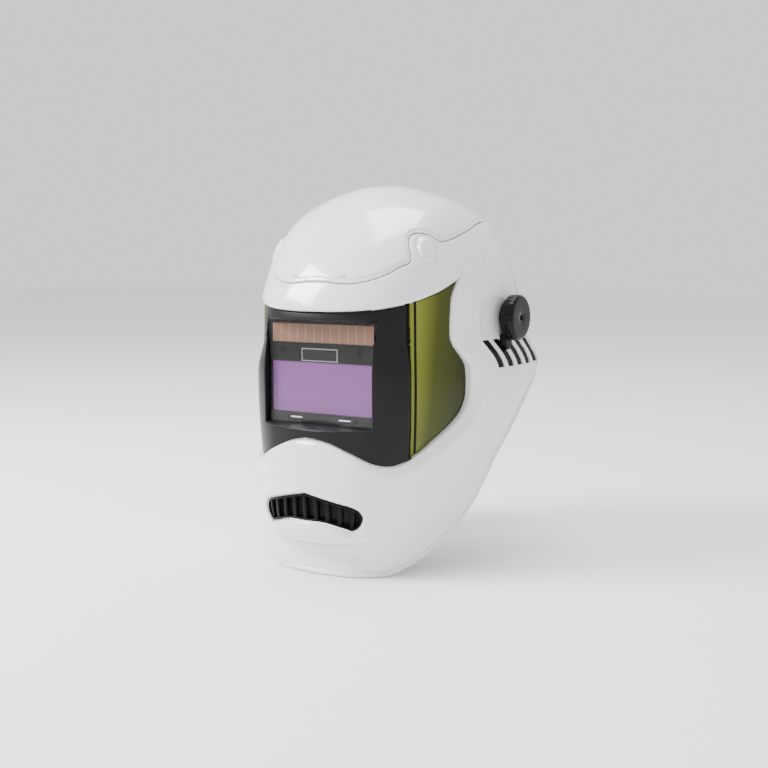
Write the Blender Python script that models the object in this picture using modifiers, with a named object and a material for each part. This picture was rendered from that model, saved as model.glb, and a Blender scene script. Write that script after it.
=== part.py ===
"""Auto-darkening welding helmet on a ratchet headgear, built from separate parts.

Frame: +Z is up, the visor faces -Y and +X is the wearer's left. The origin is the middle of the axis that
the helmet tilts about. Lengths in this file are millimetres, and MM turns them into metres.
"""

import math

import bmesh
import bpy
import numpy as np
from mathutils import Matrix, Vector

MM = 0.001
GAP = 0.3
EDGE_GAP = 0.8

# Helmet skin: (height, value) pairs, joined by smooth curves.
FRONT_LINE = [(-240, -146), (-216, -150), (-203, -150), (-192, -153), (-183, -161), (-168, -167),
              (-145, -168), (-118, -164), (-95, -162), (9, -161), (32, -160), (60, -155), (130, -140)]
FRONT_RADIUS = [(-240, 170), (-205, 160), (-180, 125), (-150, 118), (-118, 140), (-90, 160),
                (0, 160), (30, 118), (70, 100), (130, 90)]
HALF_WIDTH = [(-240, 86), (-205, 94), (-180, 99), (-140, 107), (-100, 113), (-60, 115), (-42, 114),
              (-18, 106), (20, 105), (60, 102), (130, 92)]
TEMPLE_WIDTH = [(-240, 86), (-140, 100), (-100, 106), (-60, 107.5), (-20, 106), (20, 105), (60, 102)]
REAR_LINE = [(-216, -125), (-205, -99), (-112, -10), (-75, 25), (-54, 48), (-36, 55), (-20, 49), (0, 38),
             (25, 28), (60, 13), (85, 8), (100, 20), (130, 40)]
WIDEST_Y = 25
SIDE_BOW = 0.00125
APEX_Y, APEX_Z = -32, 118
TOP_BOW_FRONT, TOP_BOW_REAR, TOP_BOW_SIDE = 0.006, 0.003, 0.004
BACK_Y = 80
CHIN_Z = -216
WALL = 3

# The openings are outlined by (angle round the skin from the front, height).
AXIS_Y = -50
MM_PER_DEGREE = 1.9
VISOR_TOP = [(0, 9), (25, 10.5), (46, 16), (60, 22), (70, 27.5), (80, 35)]
VISOR_TIP = (84.6, 43)
VISOR_REAR = [(77, 24), (75, 13), (74.3, -11), (75.8, -19), (84.3, -35), (86, -44), (86, -63), (83, -76),
              (75.4, -88)]
VISOR_BOTTOM = [(0, -99), (10, -101.5), (20, -109), (30, -118), (38, -120.5), (45, -117.5), (59, -104.5)]
FRAME_END = 47.3
SIDE_START = 50
FRAME_INSET, FRAME_WALL = 5, 3
LENS_INSET, LENS_WALL = 3, 2.5
MOUTH_TOP = [(0, -143), (13.5, -149), (22.8, -154)]
MOUTH_FOOT = [(0, -168), (9, -168.2), (18, -172.5), (21.5, -174.5), (24.8, -171)]
MOUTH = [*MOUTH_TOP, (26.2, -162), *MOUTH_FOOT[::-1]]
VENT_GAPS, VENT_GAP_HALF, VENT_BORDER = 8, 2.0, 3
SEAM = [(0, 34), (19, 32), (34, 37.6), (43, 45), (49, 49), (50.5, 53), (50.7, 64), (52.5, 71), (58, 74),
        (65, 72.4), (73, 67), (95, 76), (117, 84.6), (150, 86), (180, 88)]

SLOTS_PER_SIDE, SLOT_WIDTH, SLOT_TOP_Z, SLOT_FOOT_Z = 5, 8.6, -19, -43.5
SLOT_TOP_Y, SLOT_TOP_PITCH, SLOT_FOOT_Y, SLOT_FOOT_PITCH = -32, 16.8, -18, 16.4

# Filter cartridge: 110 x 90 x 9, the standard size.
CART_W, CART_TOP, CART_FOOT = 55, 1, -89
CART_FRONT, CART_SPLIT, CART_BACK = -138, -131.3, -129
LCD_W, LCD_TOP, LCD_FOOT = 52, -35.7, -79.2
SOLAR_TOP, SOLAR_FOOT = -2.7, -18.6
LABEL = (-20.5, 16.5, -34.5, -23.5)
SENSORS = [(38, -26), (-41, -26), (33, -84), (-33, -84)]
DIALS = {"shade_dial": -16.6, "sensitivity_dial": 0, "delay_dial": 16.6}
DIAL_Z, DIAL_RADIUS = -12, 7.5
BUTTON_X, SWITCH_X, CONTROL_Z, SWITCH_TRAVEL = -10, 8, -27, 5
BATTERY_X, BATTERY_Z, BATTERY_RADIUS = 37, -15, 10

# Pivot stack, outwards along X from the head.
RAIL_FLOOR, RAIL_FACE, RAIL_LIP = 85, 88.6, 90.4
RAIL_HALF_LENGTH, RAIL_HALF_HEIGHT, CARRIER_HALF_LENGTH = 32, 17.3, 20
DISC_FROM, DISC_TO, DISC_RADIUS = 93.6, 95.6, 24.5
BOSS_RADIUS, BOSS_TO = 10, 98
STOP_RADIUS, STOP_ANGLE, TILT_RANGE = 20, 45, 65
KNOB_FROM, KNOB_TO, KNOB_RADIUS = 110.5, 121.5, 20.5

# Headgear, in a frame of its own that leans back behind the brow.
HEAD_Y, HEAD_Z, HEAD_LEAN = 12, 3, 19.3
BAND_Y, BAND_HALF_WIDTH, BAND_FRONT = 20, 80, 120
BAND_WALL, BAND_HALF_HEIGHT = 2.2, 12
MODULE, PINION_TEETH, RACK_CLEARANCE = 1.25, 10, 0.35

COLOURS = {
    "white": ((0.86, 0.87, 0.88, 1), 0.16, 0), "dark": ((0.03, 0.03, 0.032, 1), 0.35, 0),
    "black": ((0.012, 0.012, 0.013, 1), 0.3, 0), "olive": ((0.22, 0.25, 0.05, 1), 0.08, 0),
    "clear": ((0.75, 0.8, 0.82, 1), 0.04, 0), "purple": ((0.3, 0.16, 0.42, 1), 0.1, 0),
    "copper": ((0.45, 0.26, 0.18, 1), 0.3, 0.2), "steel": ((0.6, 0.6, 0.6, 1), 0.3, 1),
    "grey": ((0.2, 0.2, 0.21, 1), 0.5, 0), "green": ((0.02, 0.16, 0.06, 1), 0.5, 0),
    "cloth": ((0.05, 0.05, 0.055, 1), 0.95, 0), "red": ((0.5, 0.03, 0.02, 1), 0.4, 0),
}


def clear_scene():
    for obj in list(bpy.data.objects):
        bpy.data.objects.remove(obj, do_unlink=True)


def new_collection(name):
    collection = bpy.data.collections.new(name)
    bpy.context.scene.collection.children.link(collection)
    return collection


clear_scene()
PARTS = new_collection("welding_helmet")
CUTTERS = new_collection("cutters")


def material_for(name, finish):
    colour, roughness, metallic = COLOURS[finish]
    material = bpy.data.materials.new(name)
    material.use_nodes = True
    shader = material.node_tree.nodes["Principled BSDF"]
    shader.inputs["Base Color"].default_value = colour
    shader.inputs["Roughness"].default_value = roughness
    shader.inputs["Metallic"].default_value = metallic
    return material


# ---------------------------------------------------------------- the skin as a function

def curve(values, pairs):
    """A smooth curve through (height, value) pairs, read at each of values."""
    heights, levels = np.array(pairs, float).T
    slopes = np.gradient(levels, heights)
    index = np.clip(np.searchsorted(heights, values) - 1, 0, len(heights) - 2)
    span = heights[index + 1] - heights[index]
    t = np.clip((values - heights[index]) / span, 0, 1)
    start = (2 * t**3 - 3 * t**2 + 1) * levels[index] + (t**3 - 2 * t**2 + t) * span * slopes[index]
    end = (3 * t**2 - 2 * t**3) * levels[index + 1] + (t**3 - t**2) * span * slopes[index + 1]
    return start + end


def blend_max(a, b, width):
    """The larger of two fields, rounded over where they are within width of each other."""
    share = np.clip(0.5 + 0.5 * (a - b) / width, 0, 1)
    return b + (a - b) * share + width * share * (1 - share)


def skin(points, widths=HALF_WIDTH):
    """Roughly how far each point lies outside the helmet's outer surface; negative inside it."""
    x, y, z = np.abs(points[..., 0]), points[..., 1], points[..., 2]
    front = curve(z, FRONT_LINE) + x**2 / (2 * curve(z, FRONT_RADIUS)) - y
    side = x - curve(z, widths) + SIDE_BOW * (y - WIDEST_Y) ** 2
    body = blend_max(blend_max(front, side, 30), y - BACK_Y, 20)
    bow = np.where(y < APEX_Y, TOP_BOW_FRONT, TOP_BOW_REAR)
    steepness = np.sqrt(1 + (2 * bow * (y - APEX_Y)) ** 2 + (2 * TOP_BOW_SIDE * x) ** 2)
    top = (z - APEX_Z + bow * (y - APEX_Y) ** 2 + TOP_BOW_SIDE * x**2) / steepness
    return blend_max(body, top, 26)


def temple_skin(points):
    """The skin without the step out to the cheeks, which the side windows follow."""
    return skin(points, TEMPLE_WIDTH)


def cast(starts, directions, inset, field=skin):
    """Where rays from inside the helmet reach the given depth under the skin."""
    low = np.zeros(starts.shape[:-1])
    high = np.full(starts.shape[:-1], 320.0)
    for _ in range(40):
        middle = (low + high) / 2
        inside = field(starts + directions * middle[..., None]) < -inset
        low = np.where(inside, middle, low)
        high = np.where(inside, high, middle)
    return starts + directions * low[..., None]


def level_rays(angles, heights):
    """Level rays, outward from the inner axis, at each angle (degrees) and height."""
    turn = np.radians(angles)
    starts = np.stack([0 * turn, 0 * turn + AXIS_Y, 0 * turn + heights], -1)
    directions = np.stack([np.sin(turn), -np.cos(turn), 0 * turn], -1)
    return starts, directions


# ---------------------------------------------------------------- making meshes and objects

def to_object(name, bm, finish=None, origin=(0, 0, 0)):
    """Turns a bmesh in millimetres into an object. With no finish, it is a cutter."""
    bmesh.ops.recalc_face_normals(bm, faces=bm.faces)
    if bm.calc_volume(signed=True) < 0:
        bmesh.ops.reverse_faces(bm, faces=bm.faces)
    bm.transform(Matrix.Scale(MM, 4) @ Matrix.Translation(-Vector(origin)))
    mesh = bpy.data.meshes.new(name)
    bm.to_mesh(mesh)
    bm.free()
    obj = bpy.data.objects.new(name, mesh)
    obj.location = Vector(origin) * MM
    if finish is None:
        obj.hide_render = True
        obj.display_type = "WIRE"
        CUTTERS.objects.link(obj)
    else:
        mesh.materials.append(material_for(name, finish))
        PARTS.objects.link(obj)
    return obj


def modify(obj, operation, other, solver="EXACT"):
    modifier = obj.modifiers.new(operation.lower() + "_" + other.name, "BOOLEAN")
    modifier.operation = operation
    modifier.object = other
    modifier.solver = solver
    return obj


def cut(obj, *others, solver="EXACT"):
    for other in others:
        modify(obj, "DIFFERENCE", other, solver)
    return obj


def modify_skin(obj, operation, *others):
    """A Boolean between pieces of skin and radial prisms, whose faces can lie in one plane."""
    for other in others:
        modify(obj, operation, other, "MANIFOLD")
    return obj


def thicken(obj, thickness):
    modifier = obj.modifiers.new("wall", "SOLIDIFY")
    modifier.thickness = thickness * MM
    modifier.offset = -1
    modifier.use_even_offset = True
    return obj


def soften(obj, width, segments=1):
    modifier = obj.modifiers.new("soft_edges", "BEVEL")
    modifier.width = width * MM
    modifier.segments = segments
    modifier.limit_method = "ANGLE"
    return obj


def shade(obj):
    obj.data.shade_smooth()
    obj.data.set_sharp_from_angle(angle=math.radians(35))
    return obj


def bake(obj):
    """Applies the object's modifiers, so that its shape can be cut again or joined."""
    graph = bpy.context.evaluated_depsgraph_get()
    mesh = bpy.data.meshes.new_from_object(obj.evaluated_get(graph))
    obj.modifiers.clear()
    obj.data = mesh
    return obj


def keep_largest_body(obj):
    """Applies the modifiers and drops the slivers that the cuts leave loose."""
    bake(obj)
    bm = bmesh.new()
    bm.from_mesh(obj.data)
    left = set(bm.faces)
    bodies = []
    while left:
        found = [left.pop()]
        for face in found:
            near = {other for edge in face.edges for other in edge.link_faces} & left
            left -= near
            found.extend(near)
        bodies.append(found)
    bodies.sort(key=len)
    loose = [face for body in bodies[:-1] for face in body]
    bmesh.ops.delete(bm, geom=loose, context="FACES")
    bm.to_mesh(obj.data)
    bm.free()
    return obj


def mirror_copy(obj, name, finish):
    """The same finished piece for the other side of the head."""
    mesh = obj.data.copy()
    mesh.transform(Matrix.Scale(-1, 4, (1, 0, 0)))
    mesh.flip_normals()
    mesh.materials.clear()
    mesh.materials.append(material_for(name, finish))
    other = bpy.data.objects.new(name, mesh)
    PARTS.objects.link(other)
    return other


def cube_mesh(x0, x1, y0, y1, z0, z1):
    bm = bmesh.new()
    bmesh.ops.create_cube(bm, size=1)
    size = Matrix.Diagonal((x1 - x0, y1 - y0, z1 - z0, 1))
    bm.transform(Matrix.Translation(((x0 + x1) / 2, (y0 + y1) / 2, (z0 + z1) / 2)) @ size)
    return bm


def box(name, x0, x1, y0, y1, z0, z1, finish=None, origin=(0, 0, 0)):
    return to_object(name, cube_mesh(x0, x1, y0, y1, z0, z1), finish, origin)


AXES = {"X": Matrix.Rotation(math.radians(90), 4, "Y"), "Y": Matrix.Rotation(math.radians(-90), 4, "X"),
        "Z": Matrix.Identity(4)}


def disc(name, axis, centre, radius, start, end, finish=None, origin=(0, 0, 0), segments=32):
    """A cylinder along an axis: centre is its place across the axis, start and end along it."""
    bm = bmesh.new()
    bmesh.ops.create_cone(bm, cap_ends=True, segments=segments, radius1=radius, radius2=radius,
                          depth=end - start)
    middle = (start + end) / 2
    place = {"X": (middle, *centre), "Y": (centre[0], middle, centre[1]), "Z": (*centre, middle)}[axis]
    bm.transform(Matrix.Translation(place) @ AXES[axis])
    return to_object(name, bm, finish, origin)


def add_loft(bm, rings, close_ends=True):
    """Joins rings of points, each with the same count, and closes both ends."""
    levels = [[bm.verts.new(point) for point in ring] for ring in rings]
    count = len(levels[0])
    for lower, upper in zip(levels, levels[1:]):
        for i in range(count):
            j = (i + 1) % count
            bm.faces.new((lower[i], lower[j], upper[j], upper[i]))
    if close_ends:
        bm.faces.new(levels[0][::-1])
        bm.faces.new(levels[-1])
    return bm


def prism(name, outline, start, end):
    """A cutter with a flat (Y, Z) outline, run from start to end along X."""
    rings = [[(x, y, z) for y, z in outline] for x in (start, end)]
    return to_object(name, add_loft(bmesh.new(), rings))


def finer(outline, longest=9, closed=True):
    """Splits an outline's long edges, because sides that lean would otherwise twist."""
    points = []
    for start, end in zip(outline, outline[1:] + outline[:closed]):
        length = math.hypot((end[0] - start[0]) * MM_PER_DEGREE, end[1] - start[1])
        count = max(1, math.ceil(length / longest))
        points += [tuple(np.add(start, np.subtract(end, start) * i / count)) for i in range(count)]
    return points


def radial_prism(name, outline, facing, near=60, far=230):
    """A cutter whose sides all point at the inner axis; facing is the angle that its flat ends face."""
    outline = finer(outline)
    rings = []
    for depth in (near, far):
        ring = []
        for angle, height in outline:
            reach = depth / math.cos(math.radians(angle - facing))
            turn = math.radians(angle)
            ring.append((reach * math.sin(turn), AXIS_Y - reach * math.cos(turn), height))
        rings.append(ring)
    return to_object(name, add_loft(bmesh.new(), rings))


def skin_block(name, angles, heights, outer, inner, field=skin, finish=None, steps=(16, 12)):
    """A closed plate between two depths under the skin."""
    turns = np.linspace(angles[0], angles[1], steps[0] + 1)
    levels = np.linspace(heights[0], heights[1], steps[1] + 1)
    grid_angles, grid_heights = np.meshgrid(turns, levels)
    starts, directions = level_rays(grid_angles, grid_heights)
    faces_out = cast(starts, directions, outer, field)
    faces_in = cast(starts, directions, inner, field)
    rings = [np.concatenate([out_row, in_row[::-1]]) for out_row, in_row in zip(faces_out, faces_in)]
    bm = bmesh.new()
    loops = [[bm.verts.new(point) for point in ring] for ring in rings]
    count = len(loops[0])
    for lower, upper in zip(loops, loops[1:]):
        for i in range(count):
            j = (i + 1) % count
            bm.faces.new((lower[i], lower[j], upper[j], upper[i]))
    for loop in (loops[0], loops[-1]):
        for i in range(steps[0]):
            bm.faces.new((loop[i], loop[i + 1], loop[count - 2 - i], loop[count - 1 - i]))
    return to_object(name, bm, finish)


def both_ways(outline):
    """Mirrors half an outline, from the front's middle round to the same line again."""
    return outline + [(-a, b) for a, b in outline[::-1] if a > 0]


def grow(outline, distance):
    """Moves an outline outwards by a distance in millimetres, measured round the skin."""
    points = np.array([(a * MM_PER_DEGREE, b) for a, b in outline])
    before, after = np.roll(points, 1, 0), np.roll(points, -1, 0)
    area = np.sum(before[:, 0] * points[:, 1] - points[:, 0] * before[:, 1])
    edges_in = (points - before) / np.linalg.norm(points - before, axis=1)[:, None]
    edges_out = (after - points) / np.linalg.norm(after - points, axis=1)[:, None]
    turn = -np.sign(area)
    normals = turn * np.stack([-(edges_in + edges_out)[:, 1], (edges_in + edges_out)[:, 0]], 1)
    normals /= np.linalg.norm(normals, axis=1)[:, None]
    across = turn * (normals[:, 1] * edges_in[:, 0] - normals[:, 0] * edges_in[:, 1])
    reach = distance / np.clip(np.abs(across), 0.6, 1)
    moved = points + normals * reach[:, None]
    return [(a / MM_PER_DEGREE, b) for a, b in moved]


def read_chain(chain, angle):
    angles, heights = np.array(chain).T
    return float(np.interp(angle, angles, heights))


def front_outline(end):
    """The visor opening's front part, out to an angle either side."""
    top = [p for p in VISOR_TOP if p[0] < end] + [(end, read_chain(VISOR_TOP, end))]
    foot = [p for p in VISOR_BOTTOM if p[0] < end] + [(end, read_chain(VISOR_BOTTOM, end))]
    left = [(-a, b) for a, b in top[::-1]] + top[1:]
    right = foot[::-1] + [(-a, b) for a, b in foot[1:]]
    return left + right


def side_outline(start):
    """The visor opening's part beside the left temple, starting inside the front part."""
    top = [(start - 5, read_chain(VISOR_TOP, start) - 4), (start, read_chain(VISOR_TOP, start))]
    foot = [(start, read_chain(VISOR_BOTTOM, start)), (start - 5, read_chain(VISOR_BOTTOM, start) + 4)]
    top += [p for p in VISOR_TOP if p[0] > start]
    return top + [VISOR_TIP] + VISOR_REAR + [p for p in VISOR_BOTTOM[::-1] if p[0] > start] + foot


def mirrored(outline):
    return [(-a, b) for a, b in outline]


# ---------------------------------------------------------------- helmet shell and crown

SKIN_LEVELS = [-228, -216, -207, -198, -191, -185, -177, -165, -148, -130, -112, -92, -70, -50, -40, -30,
               -20, -8, 8, 25, 42, 58]
DOME_RISE = [10, 21, 33, 45, 57, 69, 80]
SKIN_COLUMNS = 48


def skin_sheet(name, thickness, finish=None, inset=0):
    """The whole helmet's skin as one sheet, thickened inwards; its back is cut open later."""
    turn = np.linspace(0, 2 * np.pi, SKIN_COLUMNS, endpoint=False)
    rises = np.radians([0] * len(SKIN_LEVELS) + DOME_RISE)
    levels = np.array(SKIN_LEVELS + [SKIN_LEVELS[-1]] * len(DOME_RISE))
    rise, angle = np.meshgrid(rises, turn, indexing="ij")
    starts = np.stack([0 * rise, 0 * rise + AXIS_Y, 0 * rise + levels[:, None]], -1)
    directions = np.stack([np.cos(rise) * np.sin(angle), -np.cos(rise) * np.cos(angle), np.sin(rise)], -1)
    rows = cast(starts, directions, inset)
    bm = bmesh.new()
    rings = [[bm.verts.new(point) for point in row] for row in rows]
    for lower, upper in zip(rings, rings[1:]):
        for i in range(SKIN_COLUMNS):
            j = (i + 1) % SKIN_COLUMNS
            bm.faces.new((lower[i], lower[j], upper[j], upper[i]))
    crown_start = np.array([[0.0, AXIS_Y, SKIN_LEVELS[-1]]])
    crown = bm.verts.new(cast(crown_start, np.array([[0.0, 0.0, 1.0]]), inset)[0])
    for i in range(SKIN_COLUMNS):
        bm.faces.new((rings[-1][i], rings[-1][(i + 1) % SKIN_COLUMNS], crown))
    return thicken(to_object(name, bm, finish), thickness)


def crown_cutter(name, growth):
    """Everything above the crown's seam line."""
    half = grow(SEAM + [(180, 300), (0, 300)], growth)[: len(SEAM)]
    half = [(0, half[0][1]), *half[1:-1], (180, half[-1][1])]
    ring = finer(half + [(360 - a, b) for a, b in half[-2::-1]], closed=False)
    bm = bmesh.new()
    loops = []
    for reach, lift in ((40, None), (175, None), (175, 220)):
        turns = [(math.radians(angle), height if lift is None else lift) for angle, height in ring]
        loops.append([(reach * math.sin(t), AXIS_Y - reach * math.cos(t), h) for t, h in turns])
    add_loft(bm, loops, close_ends=False)
    bm.verts.ensure_lookup_table()
    count = len(ring)
    for first, centre_z in ((0, 60), (2 * count, 220)):
        centre = bm.verts.new((0, AXIS_Y, centre_z))
        for i in range(count):
            bm.verts.ensure_lookup_table()
            bm.faces.new((bm.verts[first + i], bm.verts[first + (i + 1) % count], centre))
    return to_object(name, bm)


def rear_cutter():
    heights = np.arange(CHIN_Z, 131, 7.0)
    edge = [(float(curve(np.array(z), REAR_LINE)), float(z)) for z in heights]
    outline = [(-190, -260), (-190, CHIN_Z), *edge, (140, 140), (140, -260)]
    return prism("rear_cutter", outline, -150, 150)


def opening_cutters(growth, tag):
    """Cutters for the visor opening and the chin vent, grown outwards by some millimetres."""
    return [radial_prism("front_" + tag, grow(front_outline(SIDE_START), growth), 0),
            radial_prism("left_" + tag, grow(side_outline(SIDE_START), growth), 65),
            radial_prism("right_" + tag, grow(mirrored(side_outline(SIDE_START)), growth), -65),
            radial_prism("mouth_" + tag, grow(both_ways(MOUTH), growth), 0)]


def slot_outline(index, shrink=0.0):
    """One cheek louvre as it lies in the YZ plane."""
    top_y = SLOT_TOP_Y + SLOT_TOP_PITCH * index
    foot_y = SLOT_FOOT_Y + SLOT_FOOT_PITCH * index
    half = SLOT_WIDTH / 2 - shrink
    top_z, foot_z = SLOT_TOP_Z - shrink, SLOT_FOOT_Z + shrink
    return [(top_y - half, top_z), (top_y + half, top_z), (foot_y + half, foot_z), (foot_y - half, foot_z)]


def slot_bars(name, side, shrink, finish=None):
    bm = bmesh.new()
    for index in range(SLOTS_PER_SIDE):
        outline = slot_outline(index, shrink)
        add_loft(bm, [[(side * x, y, z) for y, z in outline] for x in (90, 130)])
    return to_object(name, bm, finish)


def make_shell():
    rear = rear_cutter()
    openings = opening_cutters(0, "opening")
    shell = skin_sheet("helmet_shell", WALL, "white")
    modify_skin(shell, "DIFFERENCE", *openings, crown_cutter("crown_gap", 1.1), rear,
                slot_bars("left_slots", 1, 0), slot_bars("right_slots", -1, 0),
                disc("pivot_hole", "X", (0, 0), 7.3, -140, 140))
    shade(keep_largest_body(shell))
    crown = skin_sheet("crown_cover", WALL, "white")
    modify_skin(crown, "INTERSECT", crown_cutter("crown_region", 0))
    modify_skin(crown, "DIFFERENCE", rear)
    shade(keep_largest_body(crown))


# ---------------------------------------------------------------- visor, windows and vents

def make_visor_frame():
    span = (-FRAME_END, FRAME_END)
    frame = skin_block("visor_frame", span, (-123, 40), FRAME_INSET, FRAME_INSET + FRAME_WALL,
                       finish="dark", steps=(20, 14))
    outline = grow(front_outline(FRAME_END), -EDGE_GAP)
    modify_skin(frame, "INTERSECT", radial_prism("frame_outline", outline, 0))
    tunnel = box("frame_tunnel", -59.5, 59.5, -165, CART_BACK + 1.3, -93.5, 5.5)
    behind = skin_block("behind_frame", (-50, 50), (-100, 12), FRAME_INSET + 1, 48, steps=(20, 10))
    modify_skin(tunnel, "INTERSECT", behind)
    modify_skin(frame, "UNION", tunnel)
    rings = []
    for y, half, foot, top in ((-175, 59.5, -93.5, 5.5), (-141, 54.2, -88.2, 0.2)):
        rings.append([(-half, y, foot), (half, y, foot), (half, y, top), (-half, y, top)])
    aperture = to_object("frame_aperture", add_loft(bmesh.new(), rings))
    pocket = box("frame_pocket", -CART_W - 0.4, CART_W + 0.4, -141.2, -120, CART_FOOT - 0.4, CART_TOP + 0.4)
    modify_skin(frame, "DIFFERENCE", aperture, pocket)
    shade(keep_largest_body(frame))


def make_side_windows():
    lens = skin_block("side_window_left", (FRAME_END + 0.5, 89), (-125, 50), LENS_INSET,
                      LENS_INSET + LENS_WALL, field=temple_skin, finish="olive", steps=(12, 10))
    outline = grow(side_outline(SIDE_START - 6), -EDGE_GAP)
    modify_skin(lens, "INTERSECT", radial_prism("lens_outline", outline, 65))
    shade(keep_largest_body(lens))
    mirror_copy(lens, "side_window_right", "olive")


def make_chin_vent():
    vent = skin_block("chin_vent_grille", (-29, 29), (-178, -140), 3.6, 7, finish="black", steps=(12, 6))
    modify_skin(vent, "INTERSECT", radial_prism("vent_outline", grow(both_ways(MOUTH), -EDGE_GAP), 0))
    for index, middle in enumerate(np.linspace(-19.2, 19.2, VENT_GAPS)):
        sides = (middle - VENT_GAP_HALF, middle + VENT_GAP_HALF)
        top = [(angle, read_chain(MOUTH_TOP, abs(angle)) - VENT_BORDER) for angle in sides]
        foot = [(angle, read_chain(MOUTH_FOOT, abs(angle)) + VENT_BORDER) for angle in sides[::-1]]
        modify_skin(vent, "DIFFERENCE", radial_prism(f"vent_gap_{index}", top + foot, 0))
    shade(keep_largest_body(vent))


def make_side_vents():
    span = (93, 132)
    vent = skin_block("side_vent_insert_left", span, (-50, -16.5), WALL + 1.1, WALL + 2.6, finish="black",
                      steps=(8, 8))
    bars = slot_bars("vent_bars", 1, 0.35)
    modify_skin(bars, "INTERSECT", skin_block("bar_depth", span, (-52, -12), 1, WALL + 2, steps=(8, 8)))
    modify_skin(vent, "UNION", bars)
    shade(keep_largest_body(vent))
    mirror_copy(vent, "side_vent_insert_right", "black")


def make_visor():
    make_visor_frame()
    lens = box("outer_cover_lens", -CART_W, CART_W, -140.7, -139.7, CART_FOOT, CART_TOP, "clear")
    cut(lens, box("lens_notch", -9, 9, -143, -137, CART_FOOT - 2, CART_FOOT + 2.2))
    make_side_windows()
    make_chin_vent()
    make_side_vents()


# ---------------------------------------------------------------- filter cartridge

def turned(name, axis, centre, profile, finish, origin, steps=28):
    """A round part from (radius, place along the axis) points, listed from its far end."""
    bm = bmesh.new()
    points = [bm.verts.new((radius, 0, along)) for radius, along in profile]
    for first, second in zip(points, points[1:]):
        bm.edges.new((first, second))
    bm.transform(Matrix.Scale(MM, 4))
    mesh = bpy.data.meshes.new(name)
    bm.to_mesh(mesh)
    bm.free()
    mesh.materials.append(material_for(name, finish))
    obj = bpy.data.objects.new(name, mesh)
    screw = obj.modifiers.new("turn", "SCREW")
    screw.steps = screw.render_steps = steps
    screw.use_merge_vertices = True
    screw.merge_threshold = 0.00001
    screw.use_smooth_shade = False
    PARTS.objects.link(obj)
    bake(obj)
    shift = Matrix.Translation({"X": (0, *centre), "Y": (centre[0], 0, centre[1])}[axis])
    place = Matrix.Translation(-Vector(origin)) @ shift @ AXES[axis]
    place.translation *= MM
    obj.data.transform(place)
    obj.location = Vector(origin) * MM
    return obj


def make_filter():
    case = box("filter_case", -CART_W, CART_W, CART_FRONT, CART_SPLIT, CART_FOOT, CART_TOP, "dark")
    cut(case, box("case_hollow", -53.2, 53.2, -136.6, -125, CART_FOOT + 1.8, CART_TOP - 1.8),
        box("lcd_window", -LCD_W - GAP, LCD_W + GAP, -140, -130, LCD_FOOT - GAP, LCD_TOP + GAP),
        box("solar_window", -LCD_W - GAP, LCD_W + GAP, -140, -130, SOLAR_FOOT - GAP, SOLAR_TOP + GAP))
    box("lcd_panel", -LCD_W, LCD_W, -137.7, -135.4, LCD_FOOT, LCD_TOP, "purple")
    box("solar_panel", -LCD_W, LCD_W, -137.7, -136.2, SOLAR_FOOT, SOLAR_TOP, "copper")
    box("label_plate", LABEL[0], LABEL[1], -138.9, -138.3, LABEL[2], LABEL[3], "black")
    for number, (x, z) in enumerate(SENSORS, 1):
        cut(case, disc(f"sensor_hole_{number}", "Y", (x, z), 2.9, -140, -130, segments=16))
        disc(f"arc_sensor_{number}", "Y", (x, z), 2.5, -138.2, -135.4, "black", segments=16)
    box("circuit_board", -51, 51, -134.9, -133.7, -33, -1.8, "green")
    rear = box("filter_rear_cover", -CART_W, CART_W, CART_SPLIT + GAP, CART_BACK, CART_FOOT, CART_TOP,
               "dark")
    cut(rear, box("rear_view", -51.5, 51.5, -135, -125, -79, -36),
        disc("button_hole", "Y", (BUTTON_X, CONTROL_Z), 2.2, -135, -125, segments=16),
        box("switch_slot", SWITCH_X - 1.6, SWITCH_X + SWITCH_TRAVEL + 1.6, -135, -125,
            CONTROL_Z - 1.3, CONTROL_Z + 1.3))
    for name, x in DIALS.items():
        cut(rear, disc(name + "_hole", "Y", (x, DIAL_Z), 2.6, -135, -125, segments=16))
    box("inner_cover_lens", -53.5, 53.5, -128.7, -127.7, -83.5, -32.5, "clear")
    retainer = box("filter_retainer", -58.5, 58.5, -127.4, -124.9, -92.5, 4.5, "dark")
    cut(retainer, box("retainer_window", -51.5, 51.5, -135, -120, -85, -1.4))
    for side, word in ((1, "left"), (-1, "right")):
        centre = (side * BATTERY_X, BATTERY_Z)
        cut(rear, disc("battery_bay_" + word, "Y", centre, BATTERY_RADIUS + 0.4, -135, -125))
        disc("battery_" + word, "Y", centre, BATTERY_RADIUS, -133.3, -130.1, "steel")
        make_battery_cap("battery_cap_" + word, centre)
    for name, x in DIALS.items():
        make_dial(name, x)
    make_button_and_switch()


def make_battery_cap(name, centre):
    rim, plug = BATTERY_RADIUS + 2, BATTERY_RADIUS + 0.1
    profile = [(0, -126.7), (rim, -126.7), (rim, -128.7), (plug, -128.7), (plug, -129.8), (0, -129.8)]
    cap = turned(name, "Y", centre, profile, "grey", (centre[0], -128.7, centre[1]))
    cut(cap, box(name + "_slot", centre[0] - 8, centre[0] + 8, -127.5, -120, centre[1] - 0.9,
                 centre[1] + 0.9))
    shade(cap)


def make_dial(name, x):
    profile = [(0, -124.6), (DIAL_RADIUS - 0.8, -124.6), (DIAL_RADIUS, -125.4), (DIAL_RADIUS, -128.6),
               (2.2, -128.6), (2.2, -133.2), (0, -133.2)]
    dial = turned(name, "Y", (x, DIAL_Z), profile, "grey", (x, -128.6, DIAL_Z), steps=24)
    cut(dial, box(name + "_groove", x - 0.5, x + 0.5, -125.2, -120, DIAL_Z + 2, DIAL_Z + 9))
    shade(dial)


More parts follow.
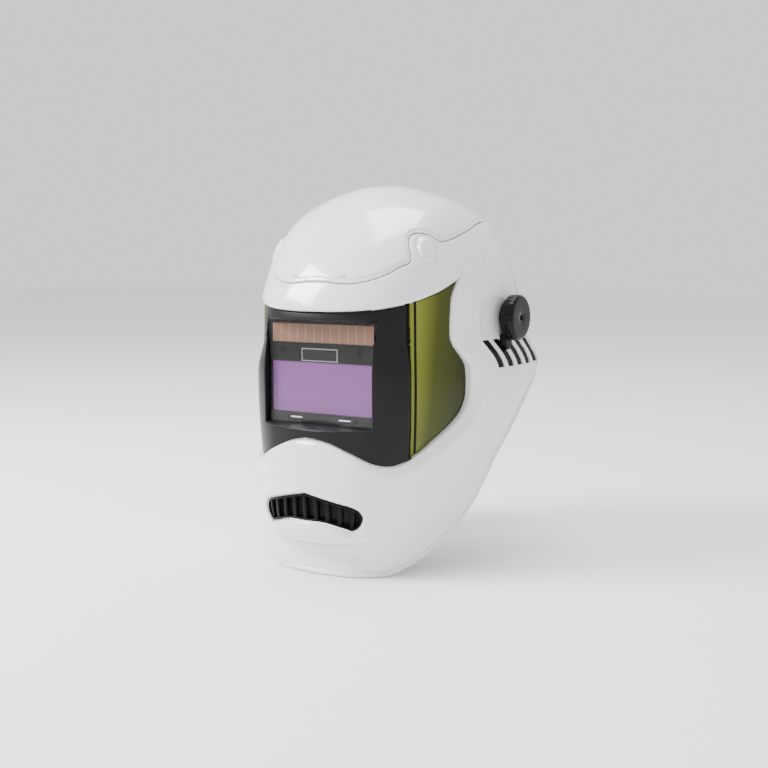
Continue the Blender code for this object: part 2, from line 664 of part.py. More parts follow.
def make_button_and_switch():
    profile = [(0, -124.9), (2.9, -124.9), (3.4, -125.4), (3.4, -127.6), (1.8, -127.6), (1.8, -132.2),
               (0, -132.2)]
    shade(turned("test_button", "Y", (BUTTON_X, CONTROL_Z), profile, "red",
                 (BUTTON_X, -127.6, CONTROL_Z), steps=20))
    switch = box("mode_switch", SWITCH_X - 2.4, SWITCH_X + 2.4, -128.6, -125.6, CONTROL_Z - 2.4,
                 CONTROL_Z + 2.4, "red", (SWITCH_X, -128.6, CONTROL_Z))
    stem = box("switch_stem", SWITCH_X - 1, SWITCH_X + 1, -132.5, -128, CONTROL_Z - 1, CONTROL_Z + 1)
    modify(switch, "UNION", stem)


# ---------------------------------------------------------------- pivots

def make_pivot(side, word):
    """The rail on the headband, the carrier that slides 8 mm each way in it, the bolt, bush and knob."""
    def across(a, b):
        return sorted((side * a, side * b))

    rail = box("slide_rail_" + word, *across(66, RAIL_LIP), -RAIL_HALF_LENGTH, RAIL_HALF_LENGTH,
               -RAIL_HALF_HEIGHT, RAIL_HALF_HEIGHT, "dark")
    stop = RAIL_HALF_LENGTH - 3.7
    cut(rail, box("rail_channel_" + word, *across(RAIL_FLOOR, RAIL_FACE), -stop, stop, -14.3, 14.3),
        box("rail_mouth_" + word, *across(RAIL_FACE - 1, RAIL_LIP + 4), -stop, stop, -11.3, 11.3),
        head_form("head_form_" + word, BAND_WALL + GAP))

    carrier = box("pivot_carrier_" + word, *across(RAIL_FLOOR + GAP, RAIL_FACE - GAP),
                  -CARRIER_HALF_LENGTH, CARRIER_HALF_LENGTH, -14, 14, "dark")
    modify(carrier, "UNION", disc("carrier_boss_" + word, "X", (0, 0), BOSS_RADIUS,
                                  *across(RAIL_FACE - 1, BOSS_TO)))
    modify(carrier, "UNION", disc("carrier_disc_" + word, "X", (0, 0), DISC_RADIUS,
                                  *across(DISC_FROM, DISC_TO), segments=40))
    first, last = STOP_ANGLE + 7, STOP_ANGLE - TILT_RANGE - 7
    angles = np.radians(np.linspace(first, last, 13))
    arc = [(r * math.cos(a), r * math.sin(a)) for r, run in ((STOP_RADIUS - 2.4, angles),
           (STOP_RADIUS + 2.4, angles[::-1])) for a in run]
    cut(carrier, prism("stop_slot_" + word, arc, *across(DISC_FROM - 3, DISC_TO + 3)),
        disc("bolt_hole_" + word, "X", (0, 0), 4.3, *across(80, 102), segments=24),
        disc("head_pocket_" + word, "X", (0, 0), 7.4, *across(80, 91), segments=24))
    shade(carrier)

    bolt = disc("pivot_bolt_" + word, "X", (0, 0), 4, *across(85.8, 117), "steel", segments=24)
    modify(bolt, "UNION", disc("bolt_head_" + word, "X", (0, 0), 6.8, *across(85.8, 90.4), segments=6))
    shade(bolt)

    washer = disc("friction_washer_" + word, "X", (0, 0), 13, *across(BOSS_TO + GAP, BOSS_TO + 1.8), "steel")
    cut(washer, disc("washer_hole_" + word, "X", (0, 0), 4.4, *across(95, 103), segments=24))

    bush = disc("pivot_bush_" + word, "X", (0, 0), 17, *across(107.6, 110.2), "black")
    tab = box("bush_tab_" + word, *across(108.9, 110.2), -3.4, 3.4, -26.5, -10)
    modify(bush, "UNION", tab)
    modify(bush, "UNION", disc("bush_sleeve_" + word, "X", (0, 0), 7, *across(102, 109)))
    cut(bush, disc("bush_bore_" + word, "X", (0, 0), 4.4, *across(99, 112), segments=24))
    shade(bush)

    angle = math.radians(STOP_ANGLE)
    place = (STOP_RADIUS * math.cos(angle), STOP_RADIUS * math.sin(angle))
    disc("tilt_stop_pin_" + word, "X", place, 2, *across(DISC_FROM - 0.8, 101), "steel", segments=16)

    knob = disc("tilt_knob_" + word, "X", (0, 0), KNOB_RADIUS, *across(KNOB_FROM, KNOB_TO), "black",
                segments=36)
    soften(knob, 2.2, 2)
    cut(knob, disc("knob_bore_" + word, "X", (0, 0), 4.3, *across(105, 117.4), segments=24),
        disc("knob_dimple_" + word, "X", (0, 0), 2, *across(120.3, 125), segments=16))
    shade(knob)


# ---------------------------------------------------------------- headgear

HEAD_FRAME = bpy.data.objects.new("headgear_frame", None)
HEAD_FRAME.location = (0, HEAD_Y * MM, HEAD_Z * MM)
HEAD_FRAME.rotation_euler = (-math.radians(HEAD_LEAN), 0, 0)
CUTTERS.objects.link(HEAD_FRAME)
bpy.context.view_layer.update()


def on_head(obj):
    obj.parent = HEAD_FRAME
    return obj


def band_point(angle, outset):
    """A point round the head in the headgear's plane; 0 degrees is the back, 180 the brow."""
    turn = math.radians(angle)
    reach = BAND_FRONT if math.cos(turn) < 0 else BAND_HALF_WIDTH
    point = Vector((BAND_HALF_WIDTH * math.sin(turn), reach * math.cos(turn)))
    normal = Vector((math.sin(turn) / BAND_HALF_WIDTH, math.cos(turn) / reach)).normalized()
    return point + normal * outset + Vector((0, BAND_Y))


def band_strip(name, angles, inner, outer, low, high, finish=None, steps=24):
    """A strip round the head between two outsets and two heights."""
    turns = np.linspace(angles[0], angles[1], steps + 1)
    outline = [band_point(a, inner) for a in turns] + [band_point(a, outer) for a in turns[::-1]]
    rings = [[(p.x, p.y, z) for p in outline] for z in (low, high)]
    bm = bmesh.new()
    levels = [[bm.verts.new(point) for point in ring] for ring in rings]
    count = len(outline)
    for i in range(count):
        j = (i + 1) % count
        bm.faces.new((levels[0][i], levels[0][j], levels[1][j], levels[1][i]))
    for level in levels:
        for i in range(steps):
            bm.faces.new((level[i], level[i + 1], level[count - 2 - i], level[count - 1 - i]))
    return on_head(to_object(name, bm, finish))


def head_form(name, outset):
    """The head's own space, which the rails are hollowed by."""
    rings = []
    for z in (-60, 60):
        points = [band_point(a, outset) for a in np.linspace(0, 360, 72, endpoint=False)]
        rings.append([(p.x, p.y, z) for p in points])
    return on_head(to_object(name, add_loft(bmesh.new(), rings)))


def rack_edge(first, last, tip, root):
    """Trapezoid rack teeth along an arc, as (angle, height) points."""
    pitch = math.degrees(math.pi * MODULE / (BAND_HALF_WIDTH + 5))
    foot, crest = 0.36 * pitch, 0.12 * pitch
    points = [(first, root)]
    for index in range(math.ceil((first + foot) / pitch), math.floor((last - foot) / pitch) + 1):
        middle = index * pitch
        points += [(middle - foot, root), (middle - crest, tip), (middle + crest, tip),
                   (middle + foot, root)]
    return points + [(last, root)]


def make_strap(side, word):
    """A toothed tongue in the ratchet housing, widening to the strap that overlaps the band."""
    pitch_line = MODULE * PINION_TEETH / 2 + RACK_CLEARANCE
    tip, root, back, far_edge = pitch_line - MODULE + 0.1, pitch_line + 1.3, 12.0, -10.0
    edge = rack_edge(-13, 32, tip, root) + [(36, root), (39.5, root)]
    edge += [(float(angle), far_edge) for angle in np.linspace(40.5, 66, 9)]
    columns = []
    for angle, height in edge:
        inner, outer = band_point(side * angle, 4.5), band_point(side * angle, 6.5)
        columns.append([(point.x, point.y, side * z) for point, z in
                        ((inner, height), (outer, height), (outer, back), (inner, back))])
    strap = to_object("strap_" + word, add_loft(bmesh.new(), columns), "dark", (0, BAND_Y, 0))
    return on_head(strap)


def radial_disc(name, radius, start, end, finish=None, segments=32):
    """A disc about the ratchet's axis, between two outsets behind the band."""
    along = BAND_Y + BAND_HALF_WIDTH
    return on_head(disc(name, "Y", (0, 0), radius, along + start, along + end, finish,
                        (0, along, 0) if finish else (0, 0, 0), segments))


def make_pinion():
    bm = bmesh.new()
    root = MODULE * (PINION_TEETH / 2 - 1.2)
    crest = MODULE * (PINION_TEETH / 2 + 0.85)
    outline = []
    for tooth in range(PINION_TEETH):
        middle = 360 / PINION_TEETH * tooth + 90 + 180 / PINION_TEETH
        for offset, radius in ((-12.2, root), (-4, crest), (4, crest), (12.2, root)):
            turn = math.radians(middle + offset)
            outline.append((radius * math.cos(turn), radius * math.sin(turn)))
    along = BAND_Y + BAND_HALF_WIDTH
    add_loft(bm, [[(x, along + y, z) for x, z in outline] for y in (4.3, 8.0)])
    pinion = on_head(to_object("ratchet_pinion", bm, "steel", (0, along, 0)))
    modify(pinion, "UNION", radial_disc("pinion_shaft", 3, 7, 22, segments=20))
    return pinion


def make_ratchet():
    base = band_strip("ratchet_housing", (-32, 32), 2.4, 4.1, -15.5, 15.5, "dark", steps=12)
    for low, high, word in ((12.4, 15.5, "upper"), (-15.5, -12.4, "lower")):
        wall = band_strip(f"housing_{word}_wall", (-32, 32), 3.5, 8.4, low, high, steps=12)
        modify(base, "UNION", wall)
    cover = band_strip("ratchet_cover", (-32, 32), 8.7, 11, -15.5, 15.5, "dark", steps=12)
    cut(cover, radial_disc("cover_hole", 3.4, 0, 20, segments=20))
    make_pinion()
    knob = radial_disc("ratchet_knob", 24, 13.2, 27, "black", 36)
    soften(knob, 2.5, 2)
    cut(knob, radial_disc("knob_socket", 3.2, 5, 22.4, segments=20))
    shade(knob)
    make_strap(1, "left")
    make_strap(-1, "right")


def make_crown_strap(side, word, outset):
    """Half of the strap over the head, from the band at one temple to just past the middle."""
    centre_y, foot_z, half_span, rise = 38, 4, 82.8, 74 + outset
    angles = np.radians(np.linspace(0, 104, 21))
    rings = []
    for y in (centre_y - 9, centre_y + 9):
        outer = [(side * (half_span + 1.6) * math.cos(a), y, foot_z + (rise + 1.6) * math.sin(a))
                 for a in angles]
        inner = [(side * half_span * math.cos(a), y, foot_z + rise * math.sin(a)) for a in angles[::-1]]
        rings.append(outer + inner)
    bm = bmesh.new()
    levels = [[bm.verts.new(point) for point in ring] for ring in rings]
    count, steps = len(rings[0]), len(angles) - 1
    for i in range(count):
        j = (i + 1) % count
        bm.faces.new((levels[0][i], levels[0][j], levels[1][j], levels[1][i]))
    for level in levels:
        for i in range(steps):
            bm.faces.new((level[i], level[i + 1], level[count - 2 - i], level[count - 1 - i]))
    return on_head(to_object("crown_strap_" + word, bm, "dark"))


def make_headgear():
    band = band_strip("headband", (41, 319), 0, BAND_WALL, -BAND_HALF_HEIGHT, BAND_HALF_HEIGHT, "dark",
                      steps=56)
    shade(band)
    band_strip("sweatband", (128, 232), -5.5, -0.4, -15, 15, "cloth", steps=24)
    band_strip("nape_pad", (-31, 31), -5, 1.9, -13, 13, "cloth", steps=12)
    make_ratchet()
    make_crown_strap(1, "left", 2.2)
    make_crown_strap(-1, "right", 0)
    pin = on_head(disc("crown_strap_pin", "Z", (0, 38), 3, 76.2, 84, "black", segments=16))
    for word in ("left", "right"):
        hole = on_head(disc("pin_hole_" + word, "Z", (0, 38), 3.4, 60, 100, segments=16))
        cut(bpy.data.objects["crown_strap_" + word], hole)
    modify(pin, "UNION", on_head(disc("pin_head", "Z", (0, 38), 5.5, 82.2, 84, segments=20)))


make_shell()
make_visor()
make_filter()
make_pivot(1, "left")
make_pivot(-1, "right")
make_headgear()
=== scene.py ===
"""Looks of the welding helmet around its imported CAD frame.

The shell, crown, visor, windows and vents are surfaces of signed fields: each field is negative inside the
piece, and is built from the depth under the helmet's skin and from outlines drawn round that skin. Fields and
outlines are in millimetres, and MM turns them into metres. +Z is up, the visor faces -Y, and +X is the
wearer's left.
"""

import math  # noqa: E402

import bmesh  # noqa: E402
import bpy  # noqa: E402
import numpy as np  # noqa: E402
from mathutils import Matrix, Vector  # noqa: E402


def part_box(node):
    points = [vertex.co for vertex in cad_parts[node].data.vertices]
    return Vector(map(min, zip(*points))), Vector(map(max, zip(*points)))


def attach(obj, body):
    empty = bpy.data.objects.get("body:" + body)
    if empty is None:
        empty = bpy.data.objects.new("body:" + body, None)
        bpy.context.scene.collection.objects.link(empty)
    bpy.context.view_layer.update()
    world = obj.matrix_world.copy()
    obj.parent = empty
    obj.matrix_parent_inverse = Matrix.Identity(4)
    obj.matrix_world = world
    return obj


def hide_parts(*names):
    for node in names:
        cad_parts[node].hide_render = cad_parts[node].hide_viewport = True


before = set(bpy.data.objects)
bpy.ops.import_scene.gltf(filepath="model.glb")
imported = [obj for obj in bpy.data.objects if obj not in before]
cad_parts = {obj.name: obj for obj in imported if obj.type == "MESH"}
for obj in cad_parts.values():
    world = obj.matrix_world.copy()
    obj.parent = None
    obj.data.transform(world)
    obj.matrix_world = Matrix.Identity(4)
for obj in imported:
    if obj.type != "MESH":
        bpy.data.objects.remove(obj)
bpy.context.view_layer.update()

MM = 0.001
FINE = 1.3

# ---- the skin, as in the CAD

FRONT_LINE = [(-240, -146), (-216, -150), (-203, -150), (-192, -153), (-183, -161), (-168, -167),
              (-145, -168), (-118, -164), (-95, -162), (9, -161), (32, -160), (60, -155), (130, -140)]
FRONT_RADIUS = [(-240, 170), (-205, 160), (-180, 125), (-150, 118), (-118, 140), (-90, 160),
                (0, 160), (30, 118), (70, 100), (130, 90)]
HALF_WIDTH = [(-240, 86), (-205, 94), (-180, 99), (-140, 107), (-100, 113), (-60, 115), (-42, 114),
              (-18, 106), (20, 105), (60, 102), (130, 92)]
TEMPLE_WIDTH = [(-240, 86), (-140, 100), (-100, 106), (-60, 107.5), (-20, 106), (20, 105), (60, 102)]
REAR_LINE = [(-216, -125), (-205, -99), (-112, -10), (-75, 25), (-54, 48), (-36, 55), (-20, 49), (0, 38),
             (25, 28), (60, 13), (85, 8), (100, 20), (130, 40)]
WIDEST_Y = 25
SIDE_BOW = 0.00125
APEX_Y, APEX_Z = -32, 118
TOP_BOW_FRONT, TOP_BOW_REAR, TOP_BOW_SIDE = 0.006, 0.003, 0.004
BACK_Y = 80
CHIN_Z = -216
WALL = 3

AXIS_Y = -50
MM_PER_DEGREE = 1.9
VISOR_TOP = [(0, 9), (25, 10.5), (46, 16), (60, 22), (70, 27.5), (80, 35)]
VISOR_TIP = (84.6, 43)
VISOR_REAR = [(77, 24), (75, 13), (74.3, -11), (75.8, -19), (84.3, -35), (86, -44), (86, -63), (83, -76),
              (75.4, -88)]
VISOR_BOTTOM = [(0, -99), (10, -101.5), (20, -109), (30, -118), (38, -120.5), (45, -117.5), (59, -104.5)]
FRAME_END = 47.3
MOUTH_TOP = [(0, -143), (13.5, -149), (22.8, -154)]
MOUTH_FOOT = [(0, -168), (9, -168.2), (18, -172.5), (21.5, -174.5), (24.8, -171)]
SEAM = [(0, 34), (19, 32), (34, 37.6), (43, 45), (49, 49), (50.5, 53), (50.7, 64), (52.5, 71), (58, 74),
        (65, 72.4), (73, 67), (95, 76), (117, 84.6), (150, 86), (180, 88), (200, 88)]
SLOT_COUNT, SLOT_WIDTH, SLOT_TOP_Z, SLOT_FOOT_Z = 5, 8.6, -19, -43.5
SLOT_TOP_Y, SLOT_TOP_PITCH, SLOT_FOOT_Y, SLOT_FOOT_PITCH = -32, 16.8, -18, 16.4


def curve(values, pairs):
    """A smooth curve through (height, value) pairs, read at each of values."""
    heights, levels = np.array(pairs, float).T
    slopes = np.gradient(levels, heights)
    index = np.clip(np.searchsorted(heights, values) - 1, 0, len(heights) - 2)
    span = heights[index + 1] - heights[index]
    t = np.clip((values - heights[index]) / span, 0, 1)
    start = (2 * t**3 - 3 * t**2 + 1) * levels[index] + (t**3 - 2 * t**2 + t) * span * slopes[index]
    end = (3 * t**2 - 2 * t**3) * levels[index + 1] + (t**3 - t**2) * span * slopes[index + 1]
    return start + end


def join_max(a, b, width):
    """The larger of two fields, rounded over where they are within width of each other."""
    share = np.clip(0.5 + 0.5 * (a - b) / width, 0, 1)
    return b + (a - b) * share + width * share * (1 - share)


def join_min(a, b, width):
    return -join_max(-a, -b, width)


def ramp(value, low, high):
    t = np.clip((value - low) / (high - low), 0, 1)
    return t * t * (3 - 2 * t)


def skin(points, widths=HALF_WIDTH):
    """The field whose zero is the helmet's outer surface; its slope isn't even."""
    x, y, z = np.abs(points[..., 0]), points[..., 1], points[..., 2]
    front = curve(z, FRONT_LINE) + x**2 / (2 * curve(z, FRONT_RADIUS)) - y
    side = x - curve(z, widths) + SIDE_BOW * (y - WIDEST_Y) ** 2
    body = join_max(join_max(front, side, 30), y - BACK_Y, 20)
    bow = np.where(y < APEX_Y, TOP_BOW_FRONT, TOP_BOW_REAR)
    steepness = np.sqrt(1 + (2 * bow * (y - APEX_Y)) ** 2 + (2 * TOP_BOW_SIDE * x) ** 2)
    top = (z - APEX_Z + bow * (y - APEX_Y) ** 2 + TOP_BOW_SIDE * x**2) / steepness
    return join_max(body, top, 26)


def slope_of(field, points, step=0.5):
    """The field's gradient by small steps."""
    shifts = np.eye(3) * step
    return np.stack([(field(points + s) - field(points - s)) / (2 * step) for s in shifts], -1)


def outside(points, widths=HALF_WIDTH):
    """Millimetres outside the skin, and negative inside it."""
    steepness = np.linalg.norm(slope_of(lambda p: skin(p, widths), points), axis=-1)
    return skin(points, widths) / np.clip(steepness, 0.3, None)


# ---- outlines round the skin

def rounded(ring, corners=(), splits=6):
    """A closed ring of points made smooth, except at the named corners."""
    ring = [tuple(map(float, p)) for p in ring]
    sharp = {tuple(map(float, p)) for p in corners}
    count = len(ring)
    smooth = []
    for i, p1 in enumerate(ring):
        p2 = ring[(i + 1) % count]
        p0 = p1 if p1 in sharp else ring[i - 1]
        p3 = p2 if p2 in sharp else ring[(i + 2) % count]
        p0, q1, q2, p3 = (np.array(p) for p in (p0, p1, p2, p3))
        for t in np.arange(splits) / splits:
            smooth.append(0.5 * (2 * q1 + (q2 - p0) * t + (2 * p0 - 5 * q1 + 4 * q2 - p3) * t**2
                                 + (3 * q1 - p0 - 3 * q2 + p3) * t**3))
    return np.array(smooth)


class Outline:
    """Signed distance to a closed ring in a plane, negative inside, read from a table."""

    def __init__(self, ring, step=0.8, margin=22):
        ring = np.array(ring, float)
        self.low = ring.min(0) - margin
        size = np.ceil((ring.max(0) + margin - self.low) / step).astype(int) + 1
        self.step = step
        us, vs = (self.low[k] + step * np.arange(size[k]) for k in range(2))
        u, v = np.meshgrid(us, vs, indexing="ij")
        nearest = np.full(u.shape, 1e9)
        inside = np.zeros(u.shape, bool)
        for a, b in zip(ring, np.roll(ring, -1, 0)):
            edge = b - a
            along = np.clip(((u - a[0]) * edge[0] + (v - a[1]) * edge[1]) / max(edge @ edge, 1e-12), 0, 1)
            away = (u - a[0] - along * edge[0]) ** 2 + (v - a[1] - along * edge[1]) ** 2
            nearest = np.minimum(nearest, away)
            if a[1] != b[1]:
                crosses = ((a[1] > v) != (b[1] > v)) & (u < a[0] + edge[0] * (v - a[1]) / edge[1])
                inside ^= crosses
        self.table = np.where(inside, -1, 1) * np.sqrt(nearest)

    def __call__(self, u, v):
        place_u = np.clip((u - self.low[0]) / self.step, 0, self.table.shape[0] - 1.001)
        place_v = np.clip((v - self.low[1]) / self.step, 0, self.table.shape[1] - 1.001)
        i, j = place_u.astype(int), place_v.astype(int)
        s, t = place_u - i, place_v - j
        table = self.table
        lower = table[i, j] * (1 - s) + table[i + 1, j] * s
        upper = table[i, j + 1] * (1 - s) + table[i + 1, j + 1] * s
        return lower * (1 - t) + upper * t


def unwrap(points):
    """How far round the skin from the front each point is, and its height."""
    turn = np.degrees(np.arctan2(np.abs(points[..., 0]), AXIS_Y - points[..., 1]))
    return turn * MM_PER_DEGREE, points[..., 2]


def flat(chain):
    return [(a * MM_PER_DEGREE, b) for a, b in chain]


def both_ways(chain):
    """Mirrors a chain that runs from the front's middle round to the same line again."""
    chain = flat(chain)
    return chain + [(-u, v) for u, v in chain[::-1] if u > 0]


VISOR_RING = both_ways(VISOR_TOP + [VISOR_TIP] + VISOR_REAR + VISOR_BOTTOM[::-1])
TIP = flat([VISOR_TIP])[0]
OPENING = Outline(rounded(VISOR_RING, [TIP, (-TIP[0], TIP[1])]))
MOUTH = Outline(rounded(both_ways(MOUTH_TOP + [(26.2, -162)] + MOUTH_FOOT[::-1]), [(0.0, -143.0)]))
SEAM_END = flat(SEAM)[-1]
ABOVE_SEAM = [*flat(SEAM), (SEAM_END[0], 300), (-SEAM_END[0], 300), *((-u, v) for u, v in flat(SEAM)[:0:-1])]
CROWN = Outline(rounded(ABOVE_SEAM, [p for p in ABOVE_SEAM if abs(p[0]) == SEAM_END[0]], 4), 1.1)
REAR_RING = [(-190, CHIN_Z), *((float(curve(np.array(z), REAR_LINE)), float(z)) for z in
                               np.arange(CHIN_Z, 131, 5.0)), (60, 200), (-190, 200)]
SIDE_PROFILE = Outline(REAR_RING)


# ---- from a field to a mesh

CORNERS = np.array([(i, j, k) for i in (0, 1) for j in (0, 1) for k in (0, 1)])
CELL_EDGES = [(a, b) for a in range(8) for b in range(a + 1, 8) if np.abs(CORNERS[a] - CORNERS[b]).sum() == 1]


def net(field, low, high, cell, halved=True):
    """Vertices and quads of the surface where the field is zero. A halved piece is built for x above 0 only,
    and its cells on the middle plane are given back so that it can be mirrored."""
    low, high = np.array(low, float), np.array(high, float)
    if halved:
        low[0] = -cell / 2
    counts = np.ceil((high - low) / cell).astype(int) + 1
    axes = [low[k] + cell * np.arange(counts[k]) for k in range(3)]
    values = np.empty(counts, np.float32)
    for i, x in enumerate(axes[0]):
        y, z = np.meshgrid(axes[1], axes[2], indexing="ij")
        values[i] = field(np.stack([np.full(y.shape, x), y, z], -1))
    inside = values < 0
    total = sum(inside[a:counts[0] - 1 + a, b:counts[1] - 1 + b, c:counts[2] - 1 + c].astype(np.int8)
                for a, b, c in CORNERS)
    cells = np.argwhere((total > 0) & (total < 8))
    index = np.full(counts - 1, -1)
    index[tuple(cells.T)] = np.arange(len(cells))
    samples = np.stack([values[tuple((cells + c).T)] for c in CORNERS], -1).astype(float)
    place, hits = np.zeros((len(cells), 3)), np.zeros(len(cells))
    for a, b in CELL_EDGES:
        va, vb = samples[:, a], samples[:, b]
        crossed = (va < 0) != (vb < 0)
        t = np.where(crossed, va / np.where(crossed, va - vb, 1), 0)
        place += np.where(crossed[:, None], CORNERS[a] + t[:, None] * (CORNERS[b] - CORNERS[a]), 0)
        hits += crossed
    verts = low + cell * (cells + place / hits[:, None])
    quads = []
    for axis in range(3):
        ahead = [slice(None)] * 3
        behind = [slice(None)] * 3
        ahead[axis], behind[axis] = slice(1, None), slice(None, -1)
        first, second = inside[tuple(behind)], inside[tuple(ahead)]
        u, v = (axis + 1) % 3, (axis + 2) % 3
        edges = np.argwhere(first != second)
        across, up = edges[:, u], edges[:, v]
        edges = edges[(across > 0) & (up > 0) & (across < counts[u] - 1) & (up < counts[v] - 1)]
        step_u, step_v = np.eye(3, dtype=int)[u], np.eye(3, dtype=int)[v]
        ring = np.stack([index[tuple((edges - du * step_u - dv * step_v).T)]
                         for du, dv in ((1, 1), (0, 1), (0, 0), (1, 0))], -1)
        leaving = first[tuple(edges.T)]
        ring[~leaving] = ring[~leaving][:, ::-1]
        quads.append(ring)
    quads = np.concatenate(quads)
    middle = (cells[:, 0] == 0) if halved else None
    return verts, quads, middle


def settle(field, verts, cell, rounds=3):
    """Moves each vertex onto the surface itself, by no more than a cell, and gives its normal."""
    start = verts.copy()
    for _ in range(rounds):
        slope = slope_of(field, verts, 0.25)
        size = np.maximum((slope**2).sum(-1), 0.2)
        verts = verts - (field(verts) / size)[:, None] * slope
        verts = start + np.clip(verts - start, -0.7 * cell, 0.7 * cell)
    slope = slope_of(field, verts, 0.4)
    return verts, slope / np.maximum(np.linalg.norm(slope, axis=-1, keepdims=True), 1e-6)


def piece_mesh(name, field, low, high, cell, halved=True):
    verts, quads, middle = net(field, low, high, cell, halved)
    verts, normals = settle(field, verts, cell)
    if halved:
        verts[middle, 0] = 0
        normals[middle, 0] = 0
        other = np.where(middle, np.arange(len(verts)), len(verts) + np.cumsum(~middle) - 1)
        flip = np.array([-1, 1, 1])
        quads = np.concatenate([quads, other[quads][:, ::-1]])
        verts = np.concatenate([verts, verts[~middle] * flip])
        normals = np.concatenate([normals, normals[~middle] * flip])
    mesh = bpy.data.meshes.new(name)
    mesh.from_pydata((verts * MM).tolist(), [], quads.tolist())
    mesh.polygons.foreach_set("use_smooth", np.ones(len(mesh.polygons), bool))
    mesh.update()
    mesh.normals_split_custom_set_from_vertices(normals.tolist())
    return mesh


MATERIALS = {}


def add(name, mesh, material, body, replaces=()):
    """Puts a piece in the scene on its body, in place of the CAD nodes named."""
    obj = bpy.data.objects.new(name, mesh)
    bpy.context.scene.collection.objects.link(obj)
    mesh.materials.append(MATERIALS[material])
    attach(obj, body)
    if replaces:
        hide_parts(*replaces)
    return obj


# ---- the white shell

RIM_WIDTH, RIM_GROOVE, RIM_GROOVE_WIDTH = 4.2, 1.0, 0.9
SEAM_GAP = 0.45
BEVEL_BROW, BEVEL_CHEEK, BEVEL_SLOPE = 3.0, 6.5, 0.62
SLOT_HALF, SLOT_LEAN = SLOT_WIDTH * 0.56, 0.9
LEDGE_Z, LEDGE_DIP, LEDGE_HALF, LEDGE_DEPTH = -183.5, 5.5, 58, 5.5
FLANGE_WIDTH, FLANGE_DEPTH = 2.4, 13.5
LAP_HALF, LAP_OUTER, LAP_INNER = 5, 3.1, 5.7
SIDE_X, KNOB_HOLE = 80, 7.3
NO_CUT = -50


def bevel_width(u, z):
    """The bevel round the visor opening is narrow at the brow and wide at the cheeks."""
    side = ramp(u, 30, 125) * ramp(-z, 8, 70)
    return BEVEL_BROW + BEVEL_CHEEK * side


def sunk(points, edge):
    """Depth under the outer surface, which bends inwards near an opening's edge."""
    u, z = unwrap(points)
    width = bevel_width(u, z)
    return outside(points) + BEVEL_SLOPE * width * np.clip(1 - edge / width, 0, 1.15)


def slot_field(points, shrink=0.0):
    """The five louvres as curved slanting strips seen from the side."""
    y, z = points[..., 1], points[..., 2]
    t = np.clip((SLOT_TOP_Z - z) / (SLOT_TOP_Z - SLOT_FOOT_Z), 0, 1)
    ease = 0.35 * t + 0.65 * (1 - (1 - t) ** 2.2)
    field = np.full(y.shape, 1e3)
    for i in range(SLOT_COUNT):
        top_y = SLOT_TOP_Y + SLOT_TOP_PITCH * i
        foot_y = SLOT_FOOT_Y + SLOT_FOOT_PITCH * i
        middle = top_y + (foot_y - top_y) * ease
        field = np.minimum(field, np.abs(y - middle) * SLOT_LEAN - (SLOT_HALF - shrink))
    ends = np.maximum(z - SLOT_TOP_Z, SLOT_FOOT_Z - z) + shrink
    return join_max(field, ends, 1.0)


PANEL_EDGE = [(-45, -29), (-15, -36), (20, -35), (50, -32), (62, -22), (74, 0), (85, 25)]
BOSS_U, BOSS_Z, BOSS_RISE = 60.3 * MM_PER_DEGREE, 60.5, 2.2
MOAT_RADIUS, MOAT_DEPTH = 11.6, 0.7


def rim_groove(rim):
    """The fine groove that runs just inside the shell's rear and lower rim."""
    return RIM_GROOVE * np.exp(-(((rim + RIM_WIDTH) / RIM_GROOVE_WIDTH) ** 2))


def relief(points):
    """Low raised and sunk areas on the outer surface."""
    u, z = unwrap(points)
    y = points[..., 1]
    reach = np.hypot(u - BOSS_U, z - BOSS_Z)
    boss = BOSS_RISE * ramp(reach, 9.9, 8.6) * ramp(z, 47, 58)
    moat = MOAT_DEPTH * np.exp(-(((reach - MOAT_RADIUS) / 1.1) ** 2)) * ramp(z, 49, 60)
    panel = 0.8 * ramp(y - curve(z, PANEL_EDGE), -1.6, 1.6) * ramp(z, -20, -12) * ramp(CROWN(u, z), 3, 6)
    rim = SIDE_PROFILE(y, z)
    groove = rim_groove(rim)
    flare = 0.7 * ramp(rim, -RIM_WIDTH, -RIM_WIDTH + 1.2)
    fold = 1.2 * ramp(z, -182.5, -179) * ramp(MOUTH(u, z), 2.5, 4.5) * ramp(u, 62, 40) * ramp(z, -168, -176)
    return panel + groove - boss - flare - fold + moat


def chin_drop(u, z, shift, softness):
    """How far the chin guard is set in below the muzzle's ledge; the inside turns in earlier and slower."""
    ledge_z = LEDGE_Z - LEDGE_DIP * np.cos(np.clip(u / LEDGE_HALF, 0, 1) * math.pi / 2)
    crease = 0 if shift else 1.1 * np.exp(-(((ledge_z - 2 - z) / 1.2) ** 2)) * ramp(u, 74, 50)
    step = LEDGE_DEPTH * ramp(ledge_z + shift - z, -softness, softness)
    return crease + step * ramp(u, 70, 38) * ramp(z, -215, -196)


